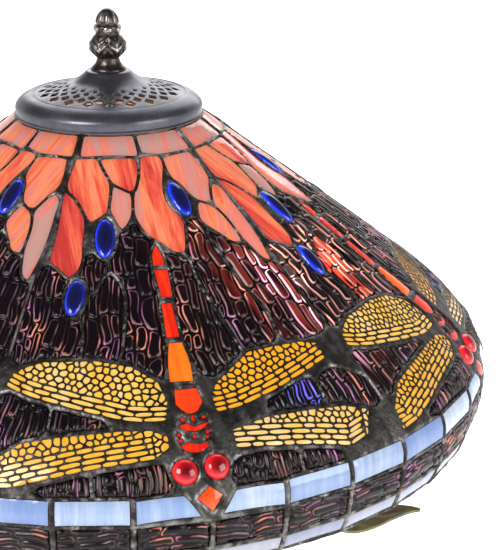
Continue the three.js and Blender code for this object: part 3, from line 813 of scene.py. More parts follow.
def lead_mesh():
    """The lead of one sixth, with its upper face's height, how domed it is, and where its crest gets a
    painted highlight.
    """
    outline = sector_outline()
    openings = [lead_hole(pane) for pane in PANES]
    holes = openings + CELLS
    points, triangles = triangulate(outline, holes, scattered(outline, LEAD_STEP, 0.7, holes))
    around = openings + [rotated(hole, side) for hole in openings for side in (-1, 1)]
    to_glass = distance_to(points, around)
    to_cell = distance_to(points, CELLS)
    bead = np.sqrt(1 - (1 - np.clip(to_glass / 2.3, 0, 1)) ** 2)
    plate = np.clip(to_cell / 0.5, 0, 1)
    share = np.clip(to_cell / 2.5, 0, 1)
    upper = (bead - 0.6) * share + 0.2 * plate * (1 - share)
    # The crest of each lead line gets a painted highlight, strongest on narrow lines and away from the wing
    # cells.
    crest = np.clip(1.8 * bead - 0.9, 0, 1) * np.clip(2 - to_glass / 1.2, 0.12, 1) * share
    return points, triangles, upper, bead * share, crest


def world_noise(points, size, seed):
    """Noise over the finished surface, so that it doesn't repeat with the pattern."""
    x, y, z = points.T / (MM * size)
    return soft_noise(x + 0.6 * z, y - 0.5 * z, seed)


def hump(x, width):
    return np.exp(-((x / width) ** 2))


GLOW_RISE, GLOW_WIDTH, GLOW_HEIGHT = 55, 52, 30  # the bright patch on the glass by each bulb


def near_light(points):
    """How brightly the bulbs behind the glass light it, from 0 to 1."""
    azimuth = np.degrees(np.arctan2(points[:, 0], -points[:, 1]))
    radius = np.hypot(points[:, 0], points[:, 1]) / MM
    glow = np.zeros(len(points))
    for k in range(LIGHTS):
        away = (azimuth - FIRST_LIGHT - k * 360 / LIGHTS + 180) % 360 - 180
        rise = points[:, 2] / MM - (LIGHT_Z + GLOW_RISE)
        glow += hump(np.radians(away) * radius, GLOW_WIDTH) * hump(rise, GLOW_HEIGHT)
    return np.clip(glow, 0, 1)


def add_lead(material):
    points, triangles, upper, bead, crest = lead_mesh()
    degrees, length = roll_up(points)
    for k in range(DRAGONFLIES):
        rest = on_shade(degrees, length, 0, SECTOR * k)
        lump = 0.45 * world_noise(rest, 6.5, 1) + 0.22 * world_noise(rest, 2.4, 2)
        lift = np.minimum(upper + lump * (0.15 + 0.85 * bead), 0.95)
        low = -3.25 - 0.5 * bead + 0.15 * world_noise(rest, 4, 3)
        faces = (on_shade(degrees, length, height, SECTOR * k) for height in (lift, low))
        # A painted highlight on the lead's crests, broken up by noise, and weaker on the inner face.
        wear_and_highlight_mask = crest * np.clip(0.3 + 1.6 * world_noise(rest, 4.5, 7), 0, 1)
        shell = Shell()
        shell.add_slab(*faces, triangles, worn=np.concatenate([wear_and_highlight_mask, 0.4 * wear_and_highlight_mask]))
        shell.build(
            f"lead_{k + 1}", material, SHADE_BODY,
            ["crown_came", "border_upper_came", "border_lower_came", "skirt_came", "rim_band"], smooth=55,
        )


GLASS_LOW = -2.9
INSIDE_LIGHT = 0.45  # flat glass is darker on the inside, seen past the bulbs
JEWEL_LOW, JEWEL_RISE = -0.9, {"cabochon": 2.9, "eye": 4.6}
FLAT_GLASS = {  # lift at the edge, rise, and the tone: a base, a share of the pane's, and chance
    "petal": (-0.5, 0.25, 0.19, 0.62, 0.496),
    "wing": (-0.3, 0.0, 0.0, 1.0, 0.0),
    "tail": (-0.5, 0.7, 0.0, 1.0, 0.1),
    "border": (-0.35, 0.25, 0.5, 1.0, 0.8),
    "edge": (-0.5, 0.25, 0.5, 1.0, 0.9),
}
# Colours of the light painted into the ripple glass. The last two are the faint glow it has everywhere and
# the grey of its painted highlights.
EMBER, VIOLET, SKY, PINK, PEACH, FIRE, LEAST_GLOW, GREY_GLINT = np.array([
    (1.25, 0.36, 0.22), (0.85, 0.24, 0.72), (0.16, 0.18, 1.5), (2.6, 1.4, 1.5), (2.6, 1.1, 0.8),
    (1.6, 0.09, 0.02), (0.001, 0.0004, 0.0008), (0.62, 0.5, 0.5),
])


def ripple_light(pane, rest, chance):
    """Lift and painted light of a ripple pane. The sides of its islands are bright, most of all near a
    bulb, with grey painted highlights along them.
    """
    clear_of_lead = np.clip(pane.depth / 1.2, 0, 1)
    side = (pane.height == BRIGHT_LEVEL) * 1.0
    top = (pane.height > BRIGHT_LEVEL) * np.clip(0.2 + 2.0 * world_noise(rest, 6, 24), 0, 1)
    broken = np.clip(0.35 + 1.6 * world_noise(rest, 4.5, 23), 0.04, 1)
    glow = near_light(rest)
    patch = np.clip(0.3 + 1.2 * world_noise(rest, 15, 21) + 0.7 * (chance - 0.5), 0, 1)
    hue = np.clip(0.15 + 1.2 * world_noise(rest, 9, 22) + 4 * (0.46 - rest[:, 2]), 0, 1)
    hot = glow**1.5 * np.clip(chance * 6 - 3.4, 0, 1)
    columns = (side, top, broken, glow, patch, hue, hot)
    side, top, broken, glow, patch, hue, hot = (values[:, None] for values in columns)
    dim, lit = EMBER * (1 - hue) + VIOLET * hue, PEACH * (1 - hue) + PINK * hue
    if pane.kind == "ripple" and pane.facts["number"] in BLUE_RIPPLE:
        dim = SKY
    # The grey part of each line is a painted highlight.
    line = 0.13 * GREY_GLINT / np.maximum(broken, 0.3) + (0.08 + patch) * dim
    line = line + glow * (0.5 + 1.5 * patch) * lit * (1 - 0.7 * hot)
    light = LEAST_GLOW + side * broken * line + (side + top) * hot * FIRE + top * glow * patch * 0.07 * PEACH
    # The light fades near the lead, a painted shade at the pane's edge.
    return -1.1 + (0.35 + 1.35 * pane.height) * clear_of_lead, {"light": light * clear_of_lead[:, None] ** 0.5}


def dome(pane):
    """Lift and values of a jewel."""
    centre, half, tilt = (pane.facts[key] for key in ("centre", "half", "tilt"))
    offset = pane.points - flatten(centre)
    lean = math.radians(tilt) + math.radians(centre[0]) * CONE
    x = (offset[:, 0] * math.cos(lean) + offset[:, 1] * math.sin(lean)) / half[0]
    y = (-offset[:, 0] * math.sin(lean) + offset[:, 1] * math.cos(lean)) / half[1]
    ring = np.clip(np.hypot(x, y), 0, 1)
    # side makes one side of the jewel brighter, a painted light.
    return JEWEL_LOW + JEWEL_RISE[pane.kind] * np.sqrt(1 - ring**2), {"ring": ring, "side": 0.5 - 0.5 * x}


def flat_glass(pane, rest, chance, seed):
    """Lift and values of a pane of streaky glass."""
    edge_lift, rise, base, share, spread = FLAT_GLASS[pane.kind]
    lift = edge_lift + rise * np.clip(pane.depth / 2.5, 0, 1) ** 0.5 + 0.1 * world_noise(rest, 9, 31)
    across = np.radians(pane.degrees) * np.hypot(rest[:, 0], rest[:, 1]) / MM
    shade = 1 - 0.55 * hump(pane.length, 6.5)  # the ring under the cap shades the crown
    # The glass is lit less within 3 mm of the lead, a painted shade at its edge.
    light = (0.6 + 0.3 * np.clip(pane.depth / 3, 0, 1)) * (1 + 0.5 * near_light(rest)) * shade
    grain = np.stack([across, pane.length, np.full(len(across), seed % 97 * 3.1)], -1)
    tone = np.full(len(across), base + share * pane.tone + spread * (chance - 0.5))
    return lift, {"grain": grain, "tone": tone, "light": light}


def pane_shell(pane, shell, k):
    """Adds one pane, on the k-th sixth of the shade."""
    seed = int(abs(pane.outline.sum())) + 97 * k
    chance = float(hashed(np.array([seed]), np.array([k]), 5)[0])
    rippled = pane.kind in ("ripple", "skirt")
    pane = pane.rippled(seed) if rippled else pane
    rest = on_shade(pane.degrees, pane.length, 0, SECTOR * k)
    if rippled:
        lift, values = ripple_light(pane, rest, chance)
    elif pane.kind in JEWEL_RISE:
        lift, values = dome(pane)
    else:
        lift, values = flat_glass(pane, rest, chance, seed)
    inner = dict(values)
    if pane.kind in FLAT_GLASS:
        inner["light"] = values["light"] * INSIDE_LIGHT
    values = {key: np.concatenate([value, inner[key]]) for key, value in values.items()}
    faces = (on_shade(pane.degrees, pane.length, height, SECTOR * k) for height in (lift, GLASS_LOW))
    shell.add_slab(*faces, pane.triangles, **values)


# ---- Materials ----
class Look:
    """A material, with short ways to add its nodes."""

    def __init__(self, name, sockets):
        self.material = bpy.data.materials.new(name)
        self.material.use_nodes = True
        self.nodes = self.material.node_tree.nodes
        self.links = self.material.node_tree.links
        self.shader = self.nodes["Principled BSDF"]
        for key, value in sockets.items():
            self[key] = value

    def __setitem__(self, key, value):
        """Sets or links a socket of the shader."""
        self.plug(self.shader.inputs[key], value)

    def plug(self, socket, value):
        if isinstance(value, bpy.types.NodeSocket):
            self.links.new(value, socket)
        else:
            socket.default_value = value

    def add(self, kind, inputs, output=0, **settings):
        node = self.nodes.new("ShaderNode" + kind)
        for key, value in settings.items():
            setattr(node, key, value)
        for key, value in inputs.items():
            self.plug(node.inputs[key], value)
        return node.outputs[output]

    def attribute(self, name, output="Fac"):
        return self.add("Attribute", {}, output, attribute_name=name)

    def noise(self, size, detail=3.0, contrast=1.0):
        """Noise round 0.5, with features of a size in millimetres."""
        place = self.add("TexCoord", {}, "Object")
        fac = self.add("TexNoise", {"Vector": place, "Scale": 0.5 / (size * MM), "Detail": detail})
        if contrast == 1:
            return fac
        return self.sum(self.product(fac, contrast), 0.5 - 0.5 * contrast)

    def product(self, a, b):
        return self.add("Math", {0: a, 1: b}, operation="MULTIPLY")

    def sum(self, a, b, clamp=False):
        return self.add("Math", {0: a, 1: b}, operation="ADD", use_clamp=clamp)

    def ramp(self, factor, stops):
        node = self.nodes.new("ShaderNodeValToRGB")
        self.plug(node.inputs[0], factor)
        ends = node.color_ramp.elements
        for element, (at, color) in ((ends[0], stops[0]), (ends[1], stops[-1])):
            element.position = at
            element.color = (*color, 1)
        for at, color in stops[1:-1]:
            ends.new(at).color = (*color, 1)
        return node.outputs[0]

    def mix(self, factor, a, b):
        colors = [c if isinstance(c, bpy.types.NodeSocket) else (*c, 1) for c in (a, b)]
        return self.add("Mix", {0: factor, 6: colors[0], 7: colors[1]}, 2, data_type="RGBA")

    def scaled(self, color, amount):
        return self.add("VectorMath", {0: color, 3: amount}, operation="SCALE")

    def bump(self, height, distance, strength):
        """Bump of a depth in millimetres."""
        sockets = {"Height": height, "Distance": distance * MM, "Strength": strength}
        self["Normal"] = self.add("Bump", sockets)


GLOW = 0.5  # how brightly the lit glass shines, against what it reflects


def streaky_glass(name, stops, streak, roughness=0.12):
    """Opalescent glass with long streaks of its colours, lit from behind."""
    look = Look(name, {"Emission Strength": GLOW, "IOR": 1.5})
    along = look.attribute("grain", "Vector")
    grain = look.add("VectorMath", {0: along, 1: (0.105, 0.010, 1)}, operation="MULTIPLY")
    sockets = {"Vector": grain, "Roughness": 0.6}
    wide = look.add("TexNoise", {**sockets, "Scale": 1.0, "Detail": 4.0, "Distortion": 0.6})
    narrow = look.add("TexNoise", {**sockets, "Scale": 4.5, "Detail": 3.0})
    streaks = look.sum(look.product(wide, streak), look.product(narrow, streak * 0.3))
    factor = look.sum(look.sum(streaks, -0.65 * streak), look.attribute("tone"), clamp=True)
    color = look.ramp(factor, stops)
    look["Base Color"] = look.scaled(color, 0.5)
    look["Emission Color"] = look.scaled(color, look.attribute("light"))
    look["Roughness"] = look.sum(look.noise(6, contrast=0.25), roughness - 0.5)
    look.bump(look.noise(5, detail=4), 0.35, 0.6)
    return look.material


def ripple_glass():
    """Dark glass whose grooves let a little light through, painted into its emission along with grey
    painted highlights.
    """
    look = Look("ripple_glass", {"Emission Strength": 0.9, "IOR": 1.5, "Specular IOR Level": 0.2})
    light = look.attribute("light", "Vector")
    tint = look.ramp(look.noise(14), [(0.3, (0.0012, 0.0006, 0.001)), (0.7, (0.0045, 0.0016, 0.0035))])
    look["Base Color"] = tint
    look["Emission Color"] = light
    look["Roughness"] = look.sum(look.noise(3, contrast=0.2), -0.3)
    look.bump(look.noise(1.2, detail=3), 0.05, 0.6)
    return look.material


def jewel_glass(name, stops, strength):
    """A polished domed jewel whose glow is painted light, dark in the middle, bright towards its edge and
    brighter on one side. ring is 0 at its middle and 1 at its edge, and side runs across it.
    """
    look = Look(name, {"Emission Strength": strength, "IOR": 1.5})
    # Painted light: one side is brighter, and the ramp runs from a dark middle to a bright edge.
    cloud = look.sum(look.noise(5, contrast=0.25), look.product(look.attribute("side"), 0.2))
    factor = look.sum(look.sum(cloud, -0.6), look.attribute("ring"), clamp=True)
    color = look.ramp(factor, stops)
    look["Base Color"] = look.scaled(color, 0.6)
    look["Emission Color"] = color
    look["Roughness"] = look.sum(look.noise(2, contrast=0.1), -0.4)
    look.bump(look.noise(9), 0.2, 0.4)
    return look.material


def metal(name, stops, worn, roughness, size=14.0, pits=0.12, metallic=0.9, gloss=0.5):
    """Metal with clouds of patina, pits, and a brighter colour where its relief stands proud: wear on the
    castings, and a painted highlight on the lead's crests.
    """
    look = Look(name, {"Metallic": metallic, "Specular IOR Level": gloss})
    cloud = look.sum(look.noise(size, 5, contrast=1.3), look.noise(size / 9, 3, contrast=0.5))
    color = look.ramp(look.sum(cloud, -0.5, clamp=True), stops)
    wear_and_highlight_mask = look.product(look.attribute("worn"), look.sum(look.noise(4, 4, contrast=1.6), 0.25, clamp=True))
    color = look.mix(wear_and_highlight_mask, color, worn)
    speck = look.sum(look.noise(0.7, 2, contrast=9), -1.2, clamp=True)
    color = look.mix(look.product(speck, 0.5), color, [c * 0.35 for c in stops[0][1]])
    look["Base Color"] = color
    rough = look.sum(look.noise(size / 3, 4, contrast=0.5), roughness - 0.5)
    look["Roughness"] = look.sum(rough, look.product(wear_and_highlight_mask, -0.12), clamp=True)
    look.bump(look.sum(look.noise(1.1, 4), look.noise(5, 2)), pits, 0.8)
    return look.material


def plain_surface(name, stops, roughness, size, bump_size, depth, **sockets):
    """A surface that isn't metal: clouded colour, and a fine grain."""
    look = Look(name, {key.replace("_", " "): value for key, value in sockets.items()})
    look["Base Color"] = look.ramp(look.noise(size, 4), stops)
    gloss = look.noise(bump_size * 3, 3, contrast=0.3)
    look["Roughness"] = look.sum(gloss, roughness - 0.5)
    look.bump(look.noise(bump_size, 4), depth, 0.8)
    return look.material


def bulb_glass():
    sockets = {"Roughness": 0.3, "Emission Strength": 1.2, "Base Color": (0.9, 0.88, 0.82, 1)}
    look = Look("bulb_glass", sockets)
    color = look.ramp(look.noise(18, 3), [(0.3, (1.0, 0.78, 0.52)), (0.7, (1.0, 0.86, 0.66))])
    look["Emission Color"] = color
    look.bump(look.noise(0.6, 2), 0.03, 0.5)
    return look.material


PETAL_STOPS = [(0.0, (0.50, 0.036, 0.030)), (0.2, (0.72, 0.09, 0.055)), (0.36, (0.80, 0.17, 0.075)),
               (0.5, (0.83, 0.25, 0.12)), (0.64, (0.72, 0.18, 0.14)), (0.8, (0.62, 0.24, 0.20)),
               (1.0, (0.49, 0.27, 0.235))]
WING_STOPS = [(0.0, (0.88, 0.58, 0.24)), (0.3, (0.90, 0.53, 0.09)), (0.6, (0.87, 0.42, 0.035)),
              (1.0, (0.88, 0.38, 0.012))]
TAIL_STOPS = [(0.0, (0.75, 0.012, 0.004)), (0.2, (1.0, 0.07, 0.008)), (0.6, (1.0, 0.26, 0.012)),
              (1.0, (1.0, 0.62, 0.04))]
BLUE_STOPS = [(0.0, (0.18, 0.27, 0.54)), (0.35, (0.27, 0.37, 0.60)), (0.65, (0.41, 0.50, 0.67)),
              (1.0, (0.62, 0.67, 0.74))]
EDGE_STOPS = [(0.0, (0.26, 0.29, 0.44)), (0.4, (0.38, 0.39, 0.48)), (1.0, (0.52, 0.52, 0.56))]
CABOCHON_STOPS = [(0.0, (0.002, 0.002, 0.018)), (0.62, (0.003, 0.004, 0.06)), (0.82, (0.006, 0.012, 0.26)),
                  (0.95, (0.015, 0.05, 0.9))]
EYE_STOPS = [(0.0, (0.06, 0.0005, 0.002)), (0.5, (0.28, 0.002, 0.007)), (0.85, (0.70, 0.010, 0.018)),
             (1.0, (0.85, 0.02, 0.03))]
METALS = {  # what follows the name in metal()
    # The lead's brighter second colour is a painted highlight on its crests.
    "lead": ([(0.25, (0.007, 0.006, 0.005)), (0.6, (0.024, 0.021, 0.019)), (0.9, (0.10, 0.092, 0.084))],
             (0.42, 0.40, 0.38), 0.44, 2.6, 0.6, 0.75),
    "dark_bronze": ([(0.2, (0.075, 0.073, 0.088)), (0.8, (0.130, 0.128, 0.150))],
                    (0.26, 0.25, 0.26), 0.36, 30.0, 0.05),
    "finial_bronze": ([(0.2, (0.020, 0.017, 0.016)), (0.8, (0.075, 0.062, 0.055))],
                      (0.50, 0.44, 0.38), 0.30, 6.0, 0.06),
    "cast_bronze": ([(0.2, (0.030, 0.019, 0.012)), (0.8, (0.095, 0.062, 0.038))],
                    (0.30, 0.22, 0.14), 0.38, 16.0, 0.15),
    "leaf_bronze": ([(0.3, (0.050, 0.038, 0.032)), (0.5, (0.045, 0.040, 0.028)),
                     (0.68, (0.070, 0.090, 0.028))],
                    (0.50, 0.46, 0.32), 0.42, 22.0, 0.15, 0.25, 0.15),
    "brass": ([(0.2, (0.28, 0.17, 0.06)), (0.8, (0.48, 0.33, 0.13))], (0.8, 0.62, 0.32), 0.32, 12.0, 0.04),
    "steel": ([(0.2, (0.30, 0.30, 0.30)), (0.8, (0.50, 0.50, 0.49))], (0.7, 0.7, 0.7), 0.34, 9.0, 0.04),
    "iron": ([(0.2, (0.035, 0.033, 0.032)), (0.8, (0.10, 0.09, 0.085))], (0.3, 0.3, 0.3), 0.62, 18.0, 0.4),
    "bulb_cap": ([(0.2, (0.50, 0.50, 0.49)), (0.8, (0.66, 0.66, 0.65))], (0.8, 0.8, 0.8), 0.3, 8.0, 0.03),
}
PHENOLIC_STOPS = [(0.3, (0.010, 0.007, 0.006)), (0.7, (0.026, 0.017, 0.013))]
FELT_STOPS = [(0.3, (0.012, 0.035, 0.018)), (0.7, (0.024, 0.060, 0.032))]
LOOKS = {
    "petal": streaky_glass("petal_glass", PETAL_STOPS, 2.1),
    "wing": streaky_glass("wing_glass", WING_STOPS, 1.8, 0.2),
    "tail": streaky_glass("tail_glass", TAIL_STOPS, 0.8),
    "border": streaky_glass("border_glass", BLUE_STOPS, 1.3),
    "edge": streaky_glass("edge_glass", EDGE_STOPS, 1.1),
    "ripple": ripple_glass(),
    "cabochon": jewel_glass("cabochon_glass", CABOCHON_STOPS, 0.55),
    "eye": jewel_glass("eye_glass", EYE_STOPS, 0.45),
    "phenolic": plain_surface("phenolic", PHENOLIC_STOPS, 0.32, 8, 1.2, 0.04),
    "felt": plain_surface("felt", FELT_STOPS, 0.95, 5, 0.5, 0.3, Sheen_Weight=0.4),
    "bulb_glass": bulb_glass(),
    **{name: metal(name, *facts) for name, facts in METALS.items()},
}
LOOKS["skirt"] = LOOKS["ripple"]


# ---- The shade ----
SHADE_PIECES = {  # a piece of each sixth: its kind of pane, its slot, and the CAD nodes that it stands for
    "petals": ("petal", "peach_glass", ["crown_glass", "petal_glass"]),
    "ripples": ("ripple", "plum_glass", ["field_glass"]),
    "skirt": ("skirt", "plum_glass", ["skirt_glass"]),
    "wings": ("wing", "wing_plate", []),
    "body_glass": ("tail", "peach_glass", []),
    "eyes": ("eye", "peach_glass", []),
    "cabochons": ("cabochon", "blue_glass", []),
    "border": ("border", "blue_glass", ["border_glass"]),
    "edge": ("edge", "pale_glass", ["edge_glass"]),
}


def add_shade():
    add_lead(LOOKS["lead"])
    for name, (kind, slot, nodes) in SHADE_PIECES.items():
        for k in range(DRAGONFLIES):
            shell = Shell()
            for pane in PANES + WING_PANES:
                if pane.kind == kind:
                    pane_shell(pane, shell, k)
            stands_for = nodes + ([f"dragonfly_{k + 1}"] if kind == "wing" else [])
            smooth = 85 if kind in ("ripple", "skirt") else 50
            shell.build(f"{name}_{k + 1}", LOOKS[kind], SHADE_BODY, stands_for, smooth)


# ---- Turned pieces ----
def fine(points, step, corner=40):
    return smooth_outline(points, step, closed=True, corner=corner)


def turned_piece(name, look, node, profile, steps, relief=None, depth=1.0, turn=Matrix.Identity(4),
                 body=LAMP_BODY):
    """One object from a closed profile turned about an axis. Relief that stands proud is worn brighter."""
    points, faces, lift = lathe(profile, steps, relief, turn)
    shell = Shell()
    shell.add(points, faces, worn=np.clip(lift / depth, 0, 1))
    shell.build(name, LOOKS[look], body, [node], smooth=38)


def repeated(angle, count, offset=0.0):
    """Where an angle lies in its share of a circle, from -0.5 to 0.5."""
    return np.mod(angle * count / (2 * math.pi) + offset, 1) - 0.5


def arc(radius, angles):
    return np.stack([radius * np.cos(angles), radius * np.sin(angles)], -1)


def circle(radius, steps, start=0.0):
    return arc(radius, start + np.arange(steps) * 2 * math.pi / steps)


# ---- Cap ----
CAP_WALL = 1.2
PIERCED_R, PIERCED_INNER_R = 48.2, 25
CONE_PROFILE = [(PIERCED_R, 14.1), (40, 16.5), (33, 18.5), (28, 20.1), (PIERCED_INNER_R, 21.1)]
HOLE_ROWS = [(43.2, 3.9), (39.2, 3.5), (35.3, 3.0), (31.6, 2.4), (28.2, 1.8)]  # radius and half size
HOLES_PER_ROW = 20


def add_cap():
    skirt = [(61.7, 0.5), (61.9, 1.6), (61.2, 2.4), (61.3, 5.6), (61.0, 7.4), (59.9, 8.9), (58.0, 10.7),
             (55.2, 12.4), (52.4, 13.5), (50.7, 13.9), (50.1, 13.5), (49.5, 13.6), (48.9, 14.0),
             (48.0, 14.2), (48.0, 13.0), (49.4, 12.4), (51.0, 12.5), (54.6, 11.2), (57.0, 9.8),
             (58.8, 8.0), (60.0, 5.6), (60.4, 0.5)]
    neck = [(25.2, 21.0), (23.2, 21.8), (20.8, 23.1), (17.8, 25.2), (15.4, 27.4), (14.3, 28.5),
            (5.1, 28.5), (5.1, 27.2), (13.6, 26.9), (17, 23.9), (20.4, 21.7), (23.2, 20.5), (25.2, 19.7)]
    shell = Shell()
    for profile, corner in ((skirt, 40), (neck, 50)):
        points, faces, _ = lathe(fine([(r, CAP_BASE + z) for r, z in profile], 0.9, corner), 180)
        shell.add(points, faces)
    holes = []
    for row, (radius, half) in enumerate(HOLE_ROWS):
        for k in range(HOLES_PER_ROW):
            a = (k + 0.5 * (row % 2)) * 2 * math.pi / HOLES_PER_ROW
            centre = radius * np.array([math.cos(a), math.sin(a)])
            holes.append(centre + rounded(circle(half, 4, a), 0.08))
    outline, middle = circle(PIERCED_R, 180), circle(PIERCED_INNER_R, 120)
    extra = scattered(outline, 2.0, 0.6, [middle, *holes])
    reach = np.hypot(*extra.T)
    extra = extra[(reach < PIERCED_R - 0.8) & (reach > PIERCED_INNER_R + 0.8)]
    points, triangles = triangulate(outline, [middle, *holes], extra)
    radii, rises = zip(*CONE_PROFILE[::-1])
    height = CAP_BASE + np.interp(np.hypot(*points.T), radii, rises)
    dish = 0.25 * hump(distance_to(points, holes), 0.5)  # the punch pulls the metal in round each hole
    faces = (np.column_stack([points, height - deep]) * MM for deep in (dish, CAP_WALL))
    shell.add_slab(*faces, triangles)
    shell.build("cap", LOOKS["dark_bronze"], LAMP_BODY, ["vented_cap"], smooth=38)


# ---- Finial ----
def finial_relief(angle, radius, height):
    rise = height - FINIAL_BASE
    leaf, up = repeated(angle, 6), np.clip((rise - 9.0) / 14.5, 0, 1)
    veins = 0.32 * np.cos(2 * math.pi * (up * 3.2 - np.abs(leaf) * 2.4))
    acanthus = 0.55 * hump(leaf, 0.07) + veins - 1.0 * hump(np.abs(leaf) - 0.5, 0.08)
    curl = np.clip(1 - (repeated(angle, 6, 0.5) / 0.40) ** 2 - ((rise - 26.7) / 2.7) ** 2, 0, 1) ** 0.5
    flutes = 0.32 * np.cos(8 * angle) * np.clip(1 - ((rise - 34.5) / 4.6) ** 2, 0, 1)
    bead = 0.25 * np.cos(24 * angle) * hump(rise - 9.6, 0.7)
    return acanthus * np.sin(math.pi * up) + 1.5 * curl - 0.9 * hump(rise - 26.7, 2.6) + flutes + bead


def add_finial():
    outline = [(11.3, 0), (11.4, 0.9), (10.6, 2.2), (8.9, 3.9), (7.8, 5.9), (7.2, 8.2), (8.4, 9.6),
               (9.8, 10.9), (11.4, 13.2), (11.8, 15.8), (11.0, 18.8), (9.4, 21.6), (7.9, 23.7),
               (8.3, 25.2), (9.0, 26.9), (8.5, 28.8), (7.2, 30.0), (7.4, 31.8), (6.6, 34.4), (5.2, 36.8),
               (3.4, 38.9), (1.6, 39.9), (0, 40.1), (0, 13.5), (5.1, 13.5), (5.1, 0)]
    profile = fine([(r, FINIAL_BASE + z) for r, z in outline], 0.45, 50)
    turned_piece("finial_casting", "finial_bronze", "finial", profile, 192, finial_relief, 0.6,
                 body="finial")


# ---- What holds the shade, the cluster and its lights ----
CLUSTER_R, CLUSTER_LOW, CLUSTER_HIGH = 21.0, LIGHT_Z - 15, LIGHT_Z + 15
PIPE_R, PIPE_BORE, PIPE_HOLE = 4.8, 3.2, 5.1
ARM_END = 34.0
SOCKET_CAP, SOCKET_SHELL, SOCKET_MOUTH, SOCKET_R = 34.3, 50.0, 92.0, 17.5
KEY_AT, KEY_START = 59.0, -9.0


def light_turn(k):
    """The frame of one lampholder: its axis is +Z, and +Y stays on the lamp's upper side."""
    azimuth, tilt = math.radians(FIRST_LIGHT + k * 360 / LIGHTS), math.radians(5)
    outward = Vector((math.sin(azimuth), -math.cos(azimuth), 0))
    axis = outward * math.cos(tilt) + Vector((0, 0, math.sin(tilt)))
    side = Vector((0, 0, 1)).cross(axis).normalized()
    turn = Matrix((side, axis.cross(side), axis)).transposed().to_4x4()
    turn.translation = (0, 0, LIGHT_Z)
    return turn


SPOKES, SPOKE_HALF = 4, 4.5
SEAT_R, SEAT_OUTER_R, SEAT_INNER_R = 58, 50.0, 9.5
SEAT_HIGH, SEAT_LOW = CAP_BASE - 1.8, CAP_BASE - 5.0


def thread(pitch, depth):
    return lambda angle, radius, height: depth * (np.cos(2 * math.pi * height / pitch + angle) - 1) / 2


def add_supports():
    pipes = {"lamp_pipe": (34, LIGHT_Z - 2), "riser_pipe": (CLUSTER_HIGH - 4, FINIAL_BASE + 12)}
    for name, (low, high) in pipes.items():
        wall = [(PIPE_BORE, low), (PIPE_R, low), (PIPE_R, high), (PIPE_BORE, high)]
        turned_piece(f"{name}_threaded", "steel", name, fine(wall, 0.4), 24, thread(1.4, 0.35), 1)
    ring = [(54.6, CAP_BASE - 1.4), (57, CAP_BASE - 1.5), (59.9, CAP_BASE - 1.3), (59.9, CAP_BASE + 2.2),
            (57.2, CAP_BASE + 2.5), (54.6, CAP_BASE + 2.3)]
    turned_piece("top_ring_spun", "brass", "top_ring", fine(ring, 0.8, 60), 120, body=SHADE_BODY)


def add_seat():
    """A wheel with four spokes, which carries the shade's top ring."""
    share = 2 * math.pi / SPOKES
    outer, inner = (math.asin(SPOKE_HALF / radius) for radius in (SEAT_OUTER_R, SEAT_INNER_R))
    windows = []
    for k in range(SPOKES):
        rim_side = arc(SEAT_OUTER_R, k * share + np.linspace(outer, share - outer, 30))
        hub_side = arc(SEAT_INNER_R, k * share + np.linspace(share - inner, inner, 8))
        windows.append(np.vstack([rim_side, hub_side]))
    outline, holes = circle(SEAT_R, 120), [circle(PIPE_HOLE, 32), *windows]
    points, triangles = triangulate(outline, holes, scattered(outline, 4.0, 1.2, holes))
    soft = 0.5 * hump(distance_to(points, [outline, *windows]), 0.8)
    shell = Shell()
    faces = (np.column_stack([points, height]) * MM for height in (SEAT_HIGH - soft, SEAT_LOW + soft))
    shell.add_slab(*faces, triangles)
    shell.build("shade_seat_wheel", LOOKS["brass"], LAMP_BODY, ["shade_seat"], smooth=38)


def add_cluster():
    body = [(0, CLUSTER_LOW), (12, CLUSTER_LOW), (15.4, CLUSTER_LOW + 0.6), (17, CLUSTER_LOW + 3),
            (20.4, CLUSTER_LOW + 5.4), (21, CLUSTER_LOW + 7), (20.4, CLUSTER_LOW + 8.6),
            (20.4, CLUSTER_HIGH - 3.4), (21, CLUSTER_HIGH - 2), (21, CLUSTER_HIGH), (18, CLUSTER_HIGH),
            (18, CLUSTER_LOW + 7), (0, CLUSTER_LOW + 7)]
    arm = [(0, 16), (7, 16), (7, 25), (8.6, 26), (8.6, 28), (7, 29), (7, ARM_END), (0, ARM_END)]
    shell = Shell()
    shell.add(*lathe(fine(body, 0.8), 120)[:2])
    for k in range(LIGHTS):
        shell.add(*lathe(fine(arm, 0.7), 60, None, light_turn(k))[:2])
    shell.build("cluster_casting", LOOKS["brass"], LAMP_BODY, ["cluster_body"])
    cover = [(CLUSTER_R, CLUSTER_HIGH + 0.3), (21, CLUSTER_HIGH + 1.6), (19.6, CLUSTER_HIGH + 3.2),
             (16, CLUSTER_HIGH + 4.6), (11, CLUSTER_HIGH + 6.4), (9, CLUSTER_HIGH + 8),
             (PIPE_HOLE, CLUSTER_HIGH + 8), (PIPE_HOLE, CLUSTER_HIGH + 0.3)]
    turned_piece("cluster_cover_spun", "brass", "cluster_cover", fine(cover, 0.7, 60), 120)


